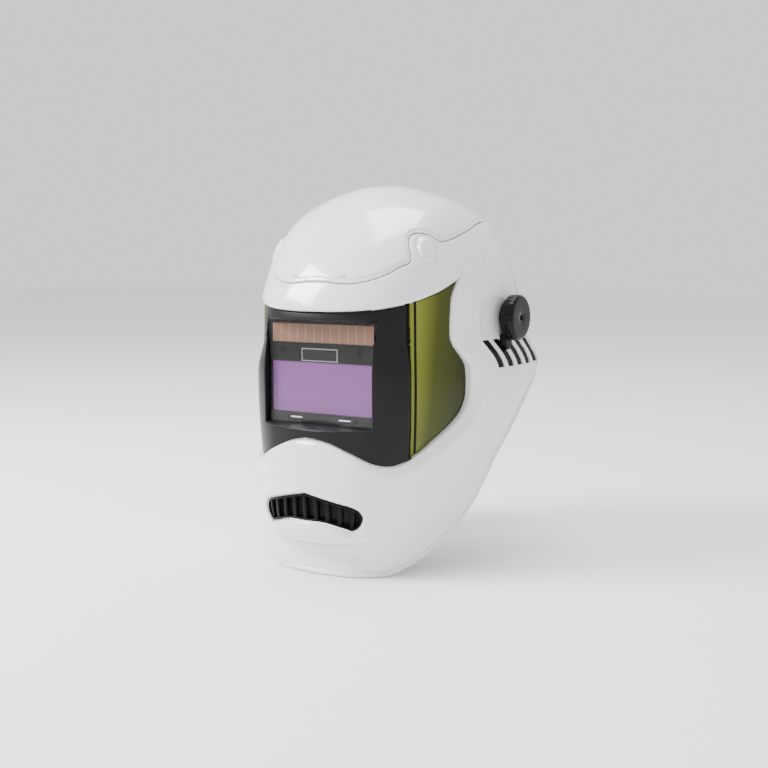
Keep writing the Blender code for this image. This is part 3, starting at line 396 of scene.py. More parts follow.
def shell_field(points):
    u, z = unwrap(points)
    y = points[..., 1]
    edge = OPENING(u, z)
    plain = sunk(points, edge)
    depth = plain + chin_drop(u, z, 0, 1.1)
    inner = plain + chin_drop(u, z, 3, 3.5)
    mouth = MOUTH(u, z)
    outer = depth + relief(points) + 1.5 * np.clip(1 - mouth / 2.4, 0, 1)
    wall = join_max(outer, -WALL - inner, 0.8)
    body = join_max(wall, 0.25 - edge, 1.1)
    flange = np.maximum(np.maximum(edge - FLANGE_WIDTH, 0.25 - edge), depth + 1.0)
    flange = join_max(flange, -FLANGE_DEPTH - depth, 0.8)
    body = join_min(body, flange, 1.2)
    body = join_max(body, 0.2 - mouth, 0.9)
    seam = CROWN(u, z)
    body = join_max(body, SEAM_GAP - seam, 0.8)
    lap = np.maximum(np.abs(seam) - LAP_HALF, np.maximum(depth + LAP_OUTER, -LAP_INNER - depth))
    body = join_min(body, lap, 0.6)
    body = join_max(body, SIDE_PROFILE(y, z), 1.2)
    on_side = np.abs(points[..., 0]) > SIDE_X
    body = join_max(body, np.where(on_side, -slot_field(points), NO_CUT), 0.8)
    return join_max(body, np.where(on_side, KNOB_HOLE - np.hypot(y, z), NO_CUT), 0.5)


EDGE_STRIP, EDGE_DROP, CROWN_GAP = 4.0, 0.8, 0.35
SLIT_U, SLIT_Z = 14.5 * MM_PER_DEGREE, 37.6
SLIT_HALF, SLIT_HALF_HEIGHT, SLIT_DEPTH = 4.2, 0.5, 1.2


def crown_field(points):
    u, z = unwrap(points)
    seam = CROWN(u, z)
    depth = outside(points)
    strip = 1 - ramp(-seam, EDGE_STRIP - 0.7, EDGE_STRIP + 0.7)
    outer = depth + EDGE_DROP * strip
    rim = SIDE_PROFILE(points[..., 1], z)
    outer = outer + rim_groove(rim)
    wall = join_max(outer, -WALL - depth, 0.8)
    wall = join_max(wall, seam + CROWN_GAP, 1.3)
    slit = np.maximum(np.abs(u - SLIT_U) - SLIT_HALF, np.abs(z - SLIT_Z) - SLIT_HALF_HEIGHT)
    wall = join_max(wall, np.where(depth > -SLIT_DEPTH, -slit, NO_CUT), 0.3)
    return join_max(wall, rim, 1.2)


# ---- dark front frame, windows and vents

FRONT_TOP = [p for p in VISOR_TOP if p[0] < FRAME_END] + [(FRAME_END, 16.55)]
FRONT_FOOT = [p for p in VISOR_BOTTOM if p[0] < FRAME_END] + [(FRAME_END, -115.4)]
FRONT_RING = both_ways(FRONT_TOP + FRONT_FOOT[::-1])
FRONT_CORNERS = [p for p in FRONT_RING if abs(abs(p[0]) - FRAME_END * MM_PER_DEGREE) < 0.01]
FRONT = Outline(rounded(FRONT_RING, FRONT_CORNERS))
WINDOW_START = FRAME_END - 1.6
WINDOW_RING = flat([(WINDOW_START, 15.9), *VISOR_TOP[3:], VISOR_TIP, *VISOR_REAR, VISOR_BOTTOM[-1],
                    (WINDOW_START, -117.6)])
WINDOW = Outline(rounded(WINDOW_RING, [TIP, WINDOW_RING[0], WINDOW_RING[-1]]))

CART_HALF, CART_TOP, CART_FOOT, CART_PLAY = 55, 1, -89, 0.4
PLATE_OUTER, PLATE_INNER, PANE_OUTER, PANE_INNER, EDGE_PLAY = 5, 8, 3, 5.5, 0.9
TUCK_DEPTH = 6.0
TUNNEL_HALF, TUNNEL_TOP, TUNNEL_FOOT, TUNNEL_BACK = 59.5, 5.5, -93.5, -127.7
SEAT_Y, TAPER = -141, 0.156


def frame_field(points):
    u, z = unwrap(points)
    x, y = np.abs(points[..., 0]), points[..., 1]
    depth = outside(points)
    plate = join_max(depth + PLATE_OUTER, -PLATE_INNER - depth, 0.8)
    plate = join_max(plate, FRONT(u, z) + EDGE_PLAY, 1.4)
    sides = np.maximum(np.maximum(x - TUNNEL_HALF, z - TUNNEL_TOP), TUNNEL_FOOT - z)
    tunnel = np.maximum(np.maximum(sides, y - TUNNEL_BACK), depth + 6)
    body = join_min(plate, tunnel, 0.8)
    flare = (SEAT_Y - y) * TAPER
    mouth = np.maximum(np.maximum(x - 54.2 - flare, z - 0.2 - flare), -88.2 - flare - z)
    mouth = np.maximum(mouth, y - SEAT_Y)
    pocket = np.maximum(x - CART_HALF - CART_PLAY, z - CART_TOP - CART_PLAY)
    pocket = np.maximum(pocket, CART_FOOT - CART_PLAY - z)
    pocket = np.maximum(pocket, SEAT_Y - 0.2 - y)
    return join_max(join_max(body, -mouth, 1.0), -pocket, 0.3)


def window_field(points):
    u, z = unwrap(points)
    depth = outside(points, TEMPLE_WIDTH)
    under_frame = TUCK_DEPTH * ramp(u, (FRAME_END + 1.0) * MM_PER_DEGREE, FRAME_END * MM_PER_DEGREE)
    pane = join_max(depth + PANE_OUTER + under_frame, -PANE_INNER - under_frame - depth, 0.6)
    return join_max(pane, WINDOW(u, z) + EDGE_PLAY, 0.8)


RIB_SPREAD, RIB_HALF, RIB_MIDDLE_Z = 5.5 * MM_PER_DEGREE, 1.9, -158
TRAY_BACK = 10.2


def grille_field(points):
    """Upright curved ribs in a border, with a closed dark tray behind them."""
    u, z = unwrap(points)
    depth = outside(points)
    edge = MOUTH(u, z)
    border = join_max(np.maximum(edge + 0.7, -2.6 - edge), np.maximum(depth + 2.6, -TRAY_BACK - depth), 0.8)
    tray = np.maximum(np.maximum(edge + 0.7, depth + 7.6), -TRAY_BACK - depth)
    signed = np.where(points[..., 0] < 0, -u, u)
    lean = (signed + 1.6 * ((z - RIB_MIDDLE_Z) / 12) ** 2) / RIB_SPREAD
    ribs = np.abs(lean - np.round(lean)) * RIB_SPREAD - RIB_HALF
    ribs = join_max(ribs, np.maximum(depth + 3.4 + 0.08 * ((z - RIB_MIDDLE_Z) / 4) ** 2, -9 - depth), 1.6)
    ribs = np.maximum(ribs, edge + 1.2)
    return join_min(join_min(border, ribs, 0.6), tray, 0.5)


def louvre_field(points):
    """The black insert that fills the louvres from behind."""
    depth = outside(points)
    strip = np.maximum(np.maximum(slot_field(points, 0.4), depth + 1.3), -4.4 - depth)
    y, z = points[..., 1], points[..., 2]
    plate = np.maximum(np.maximum(depth + 3.9, -6.2 - depth),
                       np.maximum(np.maximum(z + 16.5, -49 - z), np.maximum(-38 - y, y - 58)))
    plate = np.maximum(plate, SIDE_PROFILE(y, z) + 3)
    return join_min(strip, plate, 0.6)


# ---- materials

BUMP_HEIGHT = 0.0002


def material(name, colour, roughness, metallic=0.0, coat=0.0, alpha=1.0, grain=0.0, grain_size=900.0,
             sheen=0.0, ior=1.5, specular=0.5):
    """One finish; a grain above 0 adds a fine bump."""
    made = bpy.data.materials.new(name)
    made.use_nodes = True
    nodes, links = made.node_tree.nodes, made.node_tree.links
    shader = nodes["Principled BSDF"]
    for socket, value in (("Base Color", (*colour, 1)), ("Roughness", roughness), ("Metallic", metallic),
                          ("Coat Weight", coat), ("Alpha", alpha), ("Sheen Weight", sheen), ("IOR", ior),
                          ("Specular IOR Level", specular)):
        shader.inputs[socket].default_value = value
    if grain:
        bump = nodes.new("ShaderNodeBump")
        bump.inputs["Strength"].default_value = grain
        bump.inputs["Distance"].default_value = BUMP_HEIGHT
        links.new(noise_on(made, grain_size, 3), bump.inputs["Height"])
        links.new(bump.outputs["Normal"], shader.inputs["Normal"])
    MATERIALS[name] = made
    return made


def noise_on(made, scale, detail=2.0):
    """Noise laid out by a piece's own coordinates."""
    place = made.node_tree.nodes.new("ShaderNodeTexCoord")
    noise = made.node_tree.nodes.new("ShaderNodeTexNoise")
    noise.inputs["Scale"].default_value = scale
    noise.inputs["Detail"].default_value = detail
    made.node_tree.links.new(place.outputs["Object"], noise.inputs["Vector"])
    return noise.outputs["Fac"]


def place_on(made):
    """The X, Y and Z of a piece's own coordinates."""
    place = made.node_tree.nodes.new("ShaderNodeTexCoord")
    split = made.node_tree.nodes.new("ShaderNodeSeparateXYZ")
    made.node_tree.links.new(place.outputs["Object"], split.inputs["Vector"])
    return split.outputs


def mixed(made, factor, first, second):
    """Two colours, the first of them perhaps a socket, mixed by a factor."""
    node = made.node_tree.nodes.new("ShaderNodeMix")
    node.data_type = "RGBA"
    made.node_tree.links.new(factor, node.inputs["Factor"])
    if isinstance(first, tuple):
        node.inputs["A"].default_value = (*first, 1)
    else:
        made.node_tree.links.new(first, node.inputs["A"])
    node.inputs["B"].default_value = (*second, 1)
    return node.outputs["Result"]


def colour_by(made, socket):
    nodes, links = made.node_tree.nodes, made.node_tree.links
    links.new(socket, nodes["Principled BSDF"].inputs["Base Color"])


def tinted(made, low, high, scale):
    """Mottles a material's base colour slightly between two colours."""
    colour_by(made, mixed(made, noise_on(made, scale), low, high))


def make_materials():
    tinted(material("gloss_white", (0.8, 0.8, 0.8), 0.14, coat=0.5, grain=0.012, grain_size=300),
           (0.78, 0.785, 0.79), (0.81, 0.81, 0.81), 18)
    material("satin_dark", (0.009, 0.009, 0.01), 0.34, grain=0.15, specular=0.15)
    material("satin_black", (0.004, 0.004, 0.0045), 0.4, grain=0.15, specular=0.1)
    material("gloss_black", (0.004, 0.004, 0.005), 0.24, grain=0.05, specular=0.16)
    make_window_material()
    material("clear_lens", (0.02, 0.02, 0.02), 0.03, alpha=0.22, ior=1.58)
    material("lcd_violet", (0.4, 0.12, 0.48), 0.3)
    material("plate_black", (0.008, 0.008, 0.009), 0.3, specular=0.3)
    material("bright_steel", (0.62, 0.62, 0.63), 0.3, metallic=1.0, grain=0.1)
    material("control_grey", (0.16, 0.16, 0.17), 0.45, grain=0.2)
    material("control_red", (0.45, 0.03, 0.02), 0.4, grain=0.2)
    material("headgear_dark", (0.018, 0.018, 0.02), 0.45, grain=0.3, specular=0.35)
    tinted(material("board_green", (0.02, 0.14, 0.05), 0.5, grain=0.1), (0.015, 0.11, 0.04),
           (0.03, 0.17, 0.06), 60)
    tinted(material("foam_cloth", (0.03, 0.03, 0.033), 0.95, sheen=0.3, grain=1.0, grain_size=1500),
           (0.022, 0.022, 0.024), (0.045, 0.045, 0.048), 900)
    make_solar_material()
    make_label_material()


LABEL_MIDDLE, LABEL_HALF, LABEL_BORDER = (-0.002, -0.029), (0.0185, 0.0055), 0.0007


def math_node(made, operation, source, value):
    """One step of arithmetic; value is a number or another socket."""
    node = made.node_tree.nodes.new("ShaderNodeMath")
    node.operation = operation
    made.node_tree.links.new(source, node.inputs[0])
    if isinstance(value, (int, float)):
        node.inputs[1].default_value = value
    else:
        made.node_tree.links.new(value, node.inputs[1])
    return node.outputs[0]


def make_label_material():
    """A plain black label inside a thin pale border."""
    made = material("label_face", (0.01, 0.01, 0.01), 0.3)
    place = place_on(made)
    reach = []
    for axis, middle, half in zip("XZ", LABEL_MIDDLE, LABEL_HALF):
        away = math_node(made, "ABSOLUTE", math_node(made, "SUBTRACT", place[axis], middle), 0)
        reach.append(math_node(made, "GREATER_THAN", away, half - LABEL_BORDER))
    border = math_node(made, "MAXIMUM", reach[0], reach[1])
    colour_by(made, mixed(made, border, (0.006, 0.006, 0.006), (0.6, 0.6, 0.6)))


# Where the side window's painted light, bright beside the frame, fades into painted shade towards the temple
WINDOW_SLOPE, WINDOW_FROM, WINDOW_TO = -0.12, -0.112, -0.05


def make_window_material():
    """Olive plastic with painted light and shade: bright beside the dark frame, standing for light from the
    white inside shining through, and painted shade deepening towards the temple.
    """
    made = material("olive_window", (0.16, 0.19, 0.012), 0.05, alpha=0.97, specular=0.2)
    nodes, links = made.node_tree.nodes, made.node_tree.links
    place = place_on(made)
    slope = math_node(made, "ADD", math_node(made, "MULTIPLY", place["Z"], WINDOW_SLOPE), place["Y"])
    from_frame = math_node(made, "SUBTRACT", slope, WINDOW_FROM)
    reach = math_node(made, "MULTIPLY", from_frame, 1 / (WINDOW_TO - WINDOW_FROM))
    # painted light and shade: a ramp from bright olive beside the frame to dark olive towards the temple
    painted_light_ramp = nodes.new("ShaderNodeValToRGB")
    painted_light_ramp.color_ramp.elements[0].color = (0.17, 0.19, 0.025, 1)
    painted_light_ramp.color_ramp.elements[1].color = (0.014, 0.017, 0.002, 1)
    middle = painted_light_ramp.color_ramp.elements.new(0.35)
    middle.color = (0.05, 0.058, 0.005, 1)
    links.new(reach, painted_light_ramp.inputs["Fac"])
    colour_by(made, painted_light_ramp.outputs["Color"])


CELLS, SOLAR_HALF, CELL_LINE = 12, 0.052, 0.06


def make_solar_material():
    """Copper-brown cells side by side, with thin pale conductors between them."""
    made = material("solar_cells", (0.42, 0.2, 0.12), 0.32)
    from_edge = math_node(made, "ADD", place_on(made)["X"], SOLAR_HALF)
    along = math_node(made, "MULTIPLY", from_edge, CELLS / (2 * SOLAR_HALF))
    line = math_node(made, "LESS_THAN", math_node(made, "FRACT", along, 0), CELL_LINE)
    cells = mixed(made, noise_on(made, 400), (0.38, 0.19, 0.12), (0.48, 0.26, 0.17))
    colour_by(made, mixed(made, line, cells, (0.7, 0.52, 0.42)))


# ---- the helmet's pieces

def make_helmet():
    """Everything drawn from fields, in place of the helmet's own CAD pieces."""
    add("white_shell", piece_mesh("white_shell", shell_field, (0, -176, -222), (122, 66, 100), FINE),
        "gloss_white", "helmet", ["helmet_shell"])
    add("white_crown", piece_mesh("white_crown", crown_field, (0, -160, 22), (104, 52, 124), FINE),
        "gloss_white", "helmet", ["crown_cover"])
    add("dark_frame", piece_mesh("dark_frame", frame_field, (0, -166, -128), (98, -104, 28), FINE),
        "satin_dark", "helmet", ["visor_frame"])
    for word, sign in (("left", 1), ("right", -1)):
        def window(points, sign=sign):
            field = window_field(points)
            return np.maximum(field, -points[..., 0] * sign + 20)
        low, high = sorted((sign * 60, sign * 112))
        mesh = piece_mesh("window_" + word, window, (low, -134, -126), (high, -28, 50), 1.25, False)
        add("window_" + word, mesh, "olive_window", "helmet", ["side_window_" + word])

        def louvres(points, sign=sign):
            return np.maximum(louvre_field(points), -points[..., 0] * sign + 20)
        low, high = sorted((sign * 84, sign * 120))
        mesh = piece_mesh("louvres_" + word, louvres, (low, -44, -52), (high, 62, -12), 1.1, False)
        add("louvres_" + word, mesh, "satin_black", "helmet", ["side_vent_insert_" + word])
    mesh = piece_mesh("chin_grille", grille_field, (-54, -172, -180), (54, -138, -138), 1.0, False)
    add("chin_grille", mesh, "satin_black", "helmet", ["chin_vent_grille"])


# ---- headgear

HEAD_PLACE, HEAD_LEAN = (0, 12, 3), math.radians(19.3)
BAND_Y, BAND_HALF_WIDTH, BAND_FRONT = 20, 80, 120
BAND_THICK, BAND_HEIGHT = 2.2, 24


def on_head(points):
    """Points in the leaning headgear's own frame, taken to the helmet's frame."""
    points = np.array(points, float)
    c, s = math.cos(HEAD_LEAN), math.sin(HEAD_LEAN)
    x, y, z = points[..., 0], points[..., 1], points[..., 2]
    return np.stack([x, HEAD_PLACE[1] + y * c + z * s, HEAD_PLACE[2] - y * s + z * c], -1)


def band_frame(angle):
    """A point round the head, and the way out from it; 0 degrees is the back and 180 the brow."""
    turn = math.radians(angle)
    reach = BAND_FRONT if math.cos(turn) < 0 else BAND_HALF_WIDTH
    normal = np.array([math.sin(turn) / BAND_HALF_WIDTH, math.cos(turn) / reach, 0])
    point = np.array([BAND_HALF_WIDTH * math.sin(turn), BAND_Y + reach * math.cos(turn), 0])
    return point, normal / np.linalg.norm(normal)


def rounded_box(half_a, half_b, radius, corner_steps=4):
    """A rounded rectangle's outline about its own middle."""
    points = []
    for k, (sa, sb) in enumerate(((1, 1), (-1, 1), (-1, -1), (1, -1))):
        for t in np.linspace(0, math.pi / 2, corner_steps):
            angle = t + k * math.pi / 2
            points.append((sa * (half_a - radius) + radius * math.cos(angle),
                           sb * (half_b - radius) + radius * math.sin(angle)))
    return points


def loft_mesh(name, rings, sharp=40):
    """A closed skin over rings of points (millimetres), capped at both ends."""
    bm = bmesh.new()
    levels = [[bm.verts.new(Vector(p) * MM) for p in ring] for ring in rings]
    count = len(levels[0])
    for lower, upper in zip(levels, levels[1:]):
        for i in range(count):
            j = (i + 1) % count
            bm.faces.new((lower[i], lower[j], upper[j], upper[i]))
    bm.faces.new(levels[0][::-1])
    bm.faces.new(levels[-1])
    bmesh.ops.recalc_face_normals(bm, faces=bm.faces)
    if bm.calc_volume(signed=True) < 0:
        bmesh.ops.reverse_faces(bm, faces=bm.faces)
    mesh = bpy.data.meshes.new(name)
    bm.to_mesh(mesh)
    bm.free()
    mesh.shade_smooth()
    mesh.set_sharp_from_angle(angle=math.radians(sharp))
    return mesh


def band_rings(angles, section, end=3.0):
    """Rings round the head; section(share) gives (outset, height) points, drawn in at both ends."""
    rings = []
    for angle in angles:
        point, normal = band_frame(angle)
        near = min(angle - angles[0], angles[-1] - angle) * 1.4
        share = math.sqrt(max(0.0, 1 - max(0.0, 1 - near / end) ** 2)) * 0.85 + 0.15
        rings.append(on_head([point + normal * a + np.array([0, 0, b]) for a, b in section(share)]))
    return rings


def make_headband():
    """The headband, with its adjusting slots."""
    def section(share):
        half_height = BAND_HEIGHT / 2 * (0.75 + 0.25 * share)
        return [(BAND_THICK / 2 + a, b) for a, b in rounded_box(BAND_THICK / 2, half_height, 0.9, 3)]
    mesh = loft_mesh("band_plastic", band_rings(np.linspace(41, 319, 140), section))
    band = add("band_plastic", mesh, "headgear_dark", "headgear", ["headband"])
    cutters = []
    for angle in (60, 72, 84, 150, 165, 180, 195, 210, 276, 288, 300):
        point, normal = band_frame(angle)
        side = np.cross(normal, (0, 0, 1))
        outline = rounded_box(6.5, 2.0, 1.9, 4)
        for height in ((-5.5, 5.5) if 100 < angle < 260 else (0,)):
            rings = [on_head([point + normal * reach + side * a + np.array([0, 0, b + height])
                              for a, b in outline]) for reach in (-6, 8)]
            cutters.append(rings)
    punch(band, cutters)


def punch(obj, ring_pairs):
    """Cuts a row of small holes through a piece, and keeps the cut mesh."""
    bm = bmesh.new()
    for rings in ring_pairs:
        made = loft_mesh("hole", rings)
        bm.from_mesh(made)
        bpy.data.meshes.remove(made)
    mesh = bpy.data.meshes.new("holes")
    bm.to_mesh(mesh)
    bm.free()
    cutter = bpy.data.objects.new("holes", mesh)
    bpy.context.scene.collection.objects.link(cutter)
    modifier = obj.modifiers.new("holes", "BOOLEAN")
    modifier.operation = "DIFFERENCE"
    modifier.solver = "EXACT"
    modifier.object = cutter
    bpy.context.view_layer.update()
    graph = bpy.context.evaluated_depsgraph_get()
    cut = bpy.data.meshes.new_from_object(obj.evaluated_get(graph))
    obj.modifiers.clear()
    obj.data = cut
    bpy.data.objects.remove(cutter)
    obj.data.shade_smooth()
    obj.data.set_sharp_from_angle(angle=math.radians(38))


def pad_section(inner, outer, half_height):
    """A foam pad's section before it swells, as a slim rounded bar that thins out at both ends."""
    middle, half = (inner + outer) / 2, (outer - inner) / 2

    def section(share):
        points = []
        for k in range(28):
            turn = 2 * math.pi * k / 28
            c, s = math.cos(turn), math.sin(turn)
            a = math.copysign(abs(c) ** 0.6, c) * half
            b = math.copysign(abs(s) ** 0.42, s) * half_height * (0.86 + 0.14 * share)
            points.append((middle + a * (0.45 + 0.55 * share), b))
        return points
    return section


def place_on_band(points):
    """Angle round the head and distance out from the band's line, for points in the helmet's frame."""
    c, s = math.cos(HEAD_LEAN), math.sin(HEAD_LEAN)
    y = (points[:, 1] - HEAD_PLACE[1]) * c - (points[:, 2] - HEAD_PLACE[2]) * s - BAND_Y
    reach = np.where(y < 0, BAND_FRONT, BAND_HALF_WIDTH)
    across, along = points[:, 0] / BAND_HALF_WIDTH, y / reach
    size = np.hypot(across, along)
    slope = np.hypot(across / BAND_HALF_WIDTH, along / reach) / size
    return np.degrees(np.arctan2(across, along)) % 360, (size - 1) / slope


def points_of(mesh):
    flat_points = np.empty(len(mesh.vertices) * 3)
    mesh.vertices.foreach_get("co", flat_points)
    return flat_points.reshape(-1, 3)


PAD_VOXEL, PAD_SWELL, PAD_FRAMES = 0.0022, 0.0009, 20


def swell(mesh, held_from):
    """Blows the pad up as cloth round its foam; the side against the band, past held_from, stays put."""
    scene = bpy.context.scene
    body = bpy.data.objects.new("swelling", mesh)
    scene.collection.objects.link(body)
    remesh = body.modifiers.new("even", "REMESH")
    remesh.mode, remesh.voxel_size = "VOXEL", PAD_VOXEL
    bpy.context.view_layer.update()
    even = bpy.data.meshes.new_from_object(body.evaluated_get(bpy.context.evaluated_depsgraph_get()))
    body.modifiers.clear()
    body.data = even
    start = points_of(even)
    held = body.vertex_groups.new(name="held")
    _, outset = place_on_band(start / MM)
    held.add([int(i) for i in np.flatnonzero(outset > held_from)], 1.0, "ADD")
    cloth = body.modifiers.new("cloth", "CLOTH")
    cloth.settings.use_pressure = True
    cloth.settings.uniform_pressure_force = 4
    cloth.settings.effector_weights.gravity = 0
    cloth.settings.vertex_group_mass = "held"
    cloth.point_cache.frame_start, cloth.point_cache.frame_end = 1, PAD_FRAMES
    for frame_number in range(1, PAD_FRAMES + 1):
        scene.frame_set(frame_number)
    puffed = body.evaluated_get(bpy.context.evaluated_depsgraph_get())
    moved = points_of(puffed.data) - start
    far = np.linalg.norm(moved, axis=1, keepdims=True)
    moved *= np.minimum(1, PAD_SWELL / np.maximum(far, 1e-9))
    body.modifiers.clear()
    even.vertices.foreach_set("co", (start + moved).ravel())
    scene.frame_set(1)
    smooth = body.modifiers.new("smooth", "SUBSURF")
    smooth.levels = 1
    bpy.context.view_layer.update()
    made = bpy.data.meshes.new_from_object(body.evaluated_get(bpy.context.evaluated_depsgraph_get()))
    bpy.data.objects.remove(body)
    return made


def sew(mesh, seams, middle, depth, width):
    """Draws the head side of the pad in along upright sewn channels."""
    points = points_of(mesh)
    angle, outset = place_on_band(points / MM)
    inwards = np.zeros(len(points))
    for seam in seams:
        away = (angle - seam + 180) % 360 - 180
        inwards = np.maximum(inwards, np.exp(-((away / width) ** 2)))
    pull = depth * inwards * np.clip((middle - outset) / 1.5, 0, 1) * MM
    turn = np.radians(angle)
    reach = np.where(np.cos(turn) < 0, BAND_FRONT, BAND_HALF_WIDTH)
    normal = np.stack([np.sin(turn) / BAND_HALF_WIDTH, np.cos(turn) / reach, 0 * turn], -1)
    normal /= np.linalg.norm(normal, axis=1, keepdims=True)
    c, s = math.cos(HEAD_LEAN), math.sin(HEAD_LEAN)
    turned = np.stack([normal[:, 0], normal[:, 1] * c, -normal[:, 1] * s], -1)
    mesh.vertices.foreach_set("co", (points + turned * pull[:, None]).ravel())
    mesh.update()
    mesh.shade_smooth()


def make_pads():
    brow = loft_mesh("brow_pad", band_rings(np.linspace(128.8, 231.2, 150),
                     pad_section(-4.7, -0.5, 14.2), 6), sharp=80)
    nape = loft_mesh("nape_cushion", band_rings(np.linspace(-30.2, 30.2, 110),
                     pad_section(-4.2, 1.8, 12.2), 6), sharp=80)
    for name, mesh, held_from, middle, seams, node in (
            ("brow_pad", brow, -1.6, -2.4, np.linspace(140, 220, 7), "sweatband"),
            ("nape_cushion", nape, 0.9, -1.0, (-19, 0, 19), "nape_pad")):
        puffed = swell(mesh, held_from)
        sew(puffed, seams, middle, 1.5, 0.9)
        puffed.name = name
        pad = add(name, puffed, "foam_cloth", "headgear", [node])


STRAP_SPAN, STRAP_RISE, STRAP_Y, STRAP_FOOT_Z, STRAP_HALF_THICK = 82.8, 74, 38, 4, 0.8
HOLE_RADIUS, HOLE_PITCH = 3.4, 9.0


def make_crown_straps():
    """The two straps over the head, the left one lying on the right, with their fitting holes."""
    outline = rounded_box(STRAP_HALF_THICK, 9, 0.7, 3)
    for sign, word, outset in ((1, "left", 2.2), (-1, "right", 0)):
        rings = []
        for angle in np.radians(np.linspace(0, 104, 90)):
            span, rise = STRAP_SPAN, STRAP_RISE + outset
            point = np.array([sign * span * math.cos(angle), STRAP_Y, STRAP_FOOT_Z + rise * math.sin(angle)])
            normal = np.array([sign * math.cos(angle) / span, 0, math.sin(angle) / rise])
            normal /= np.linalg.norm(normal)
            rings.append(on_head([point + normal * (STRAP_HALF_THICK + a) + np.array([0, b, 0])
                                  for a, b in outline]))
        mesh = loft_mesh("over_strap_" + word, rings)
        strap = add("over_strap_" + word, mesh, "headgear_dark", "headgear", ["crown_strap_" + word])
        holes = []
        for x in [0.0] + [sign * k * HOLE_PITCH for k in (-1, 1, 2, 3, 4)]:
            circle = [(HOLE_RADIUS * math.cos(t), HOLE_RADIUS * math.sin(t))
                      for t in np.linspace(0, 2 * math.pi, 24, False)]
            holes.append([on_head([(x + a, STRAP_Y + b, z) for a, b in circle]) for z in (52, 92)])
        punch(strap, holes)


def turned_mesh(name, profile, place, axis_x, axis_y, axis_z, steps=96, flutes=0, depth=0.0):
    """A round body: (radius, along) points turned about axis_z; flutes scallop the widest points."""
    widest = max(r for r, _ in profile)
    place, axis_x, axis_y, axis_z = (np.array(v, float) for v in (place, axis_x, axis_y, axis_z))
    bm = bmesh.new()
    rings = []
    for radius, along in profile:
        ring = []
        for k in range(steps):
            turn = 2 * math.pi * k / steps
            bite = depth * (0.5 + 0.5 * math.cos(flutes * turn)) ** 3 if flutes else 0
            reach = radius - bite * ramp(np.array(radius / widest), 0.86, 0.95)
            p = place + axis_x * reach * math.cos(turn) + axis_y * reach * math.sin(turn) + axis_z * along
            ring.append(bm.verts.new(Vector(p) * MM))
        rings.append(ring)
    for lower, upper in zip(rings, rings[1:]):
        for k in range(steps):
            bm.faces.new((lower[k], lower[(k + 1) % steps], upper[(k + 1) % steps], upper[k]))
    bm.faces.new(rings[0][::-1])
    bm.faces.new(rings[-1])
    bmesh.ops.recalc_face_normals(bm, faces=bm.faces)
    mesh = bpy.data.meshes.new(name)
    bm.to_mesh(mesh)
    bm.free()
    mesh.shade_smooth()
    mesh.set_sharp_from_angle(angle=math.radians(40))
    return mesh


KNOB_X, KNOB_RADIUS, GRIP_RADIUS, GRIP_OUTSET = 110.5, 20.5, 24, 13.2


def rounded_rim(radius, inwards, along, rise, steps):
    """A quarter round from a knob's side to its face, as (radius, along) points."""
    return [(radius - inwards * (1 - math.cos(t)), along + rise * math.sin(t))
            for t in np.linspace(0, math.pi / 2, steps)]


def make_knobs():
    """The two tilt knobs and the ratchet's grip."""
    rim = rounded_rim(KNOB_RADIUS, 3.2, 7.6, 3.4, 9)
    profile = [(4.4, 0.0), (19.6, 0.0), (20.3, 0.5), (KNOB_RADIUS, 1.2), *rim, (13, 11.0), (8, 10.9),
               (3.6, 10.8), (2.6, 10.4), (2.2, 9.2), (0.3, 9.0)]
    for sign, word in ((1, "left"), (-1, "right")):
        mesh = turned_mesh("knob_face_" + word, profile, (sign * KNOB_X, 0, 0), (0, 1, 0), (0, 0, 1),
                           (sign, 0, 0), 120, 24, 0.35)
        add("knob_face_" + word, mesh, "gloss_black", "knob_" + word, ["tilt_knob_" + word])
    rim = rounded_rim(GRIP_RADIUS, 3.0, 10.6, 3.2, 8)
    profile = [(3.3, 0.0), (21.5, 0.0), (23.2, 0.7), (GRIP_RADIUS, 2.2), *rim, (16, 13.8), (14.6, 13.1),
               (9, 12.9), (0.4, 12.8)]
    c, s = math.cos(HEAD_LEAN), math.sin(HEAD_LEAN)
    start = on_head(np.array([0, BAND_Y + BAND_HALF_WIDTH + GRIP_OUTSET, 0]))
    mesh = turned_mesh("ratchet_grip", profile, start, (1, 0, 0), (0, s, c), (0, c, -s), 180, 18, 2.0)
    add("ratchet_grip", mesh, "gloss_black", "ratchet_knob", ["ratchet_knob"])


# ---- cartridge front

LENS_FRONT, LENS_BACK, LENS_HALF, LENS_TOP, LENS_FOOT = -140.7, -139.7, 54.6, 0.7, -88.6
NOTCH_HALF, NOTCH_RISE, GLINT_BAR_X, GLINT_BAR_Z = 19 * 1.15, 4.2, 25, -83.2


def make_lens():
    """The clear cover plate with a shallow finger notch, and two bright metal bars beside the notch as
    painted highlights, standing for light glinting along the lens's lower edge.
    """
    half, top, foot, notch_end = LENS_HALF, LENS_TOP, LENS_FOOT, 31
    notch = [(NOTCH_HALF * math.cos(t), foot + NOTCH_RISE * math.sin(t)) for t in np.linspace(0, math.pi, 15)]
    outline = [(-half, top), (half, top), (half, foot), (notch_end, foot), *notch, (-notch_end, foot),
               (-half, foot)]
    rings = [[(x, y, z) for x, z in outline] for y in (LENS_FRONT, LENS_BACK)]
    add("cover_plate", loft_mesh("cover_plate", rings), "clear_lens", "helmet", ["outer_cover_lens"])
    # painted highlights: bright metal bars where light glints along the cover plate's lower edge
    for word, middle in (("left", GLINT_BAR_X), ("right", -GLINT_BAR_X)):
        bar = rounded_box(6.0, 0.55, 0.5, 3)
        rings = [[(middle + a, y, GLINT_BAR_Z + b) for a, b in bar] for y in (-141.15, -140.75)]
        add("lens_glint_bar_" + word, loft_mesh("lens_glint_bar_" + word, rings), "bright_steel", "helmet")


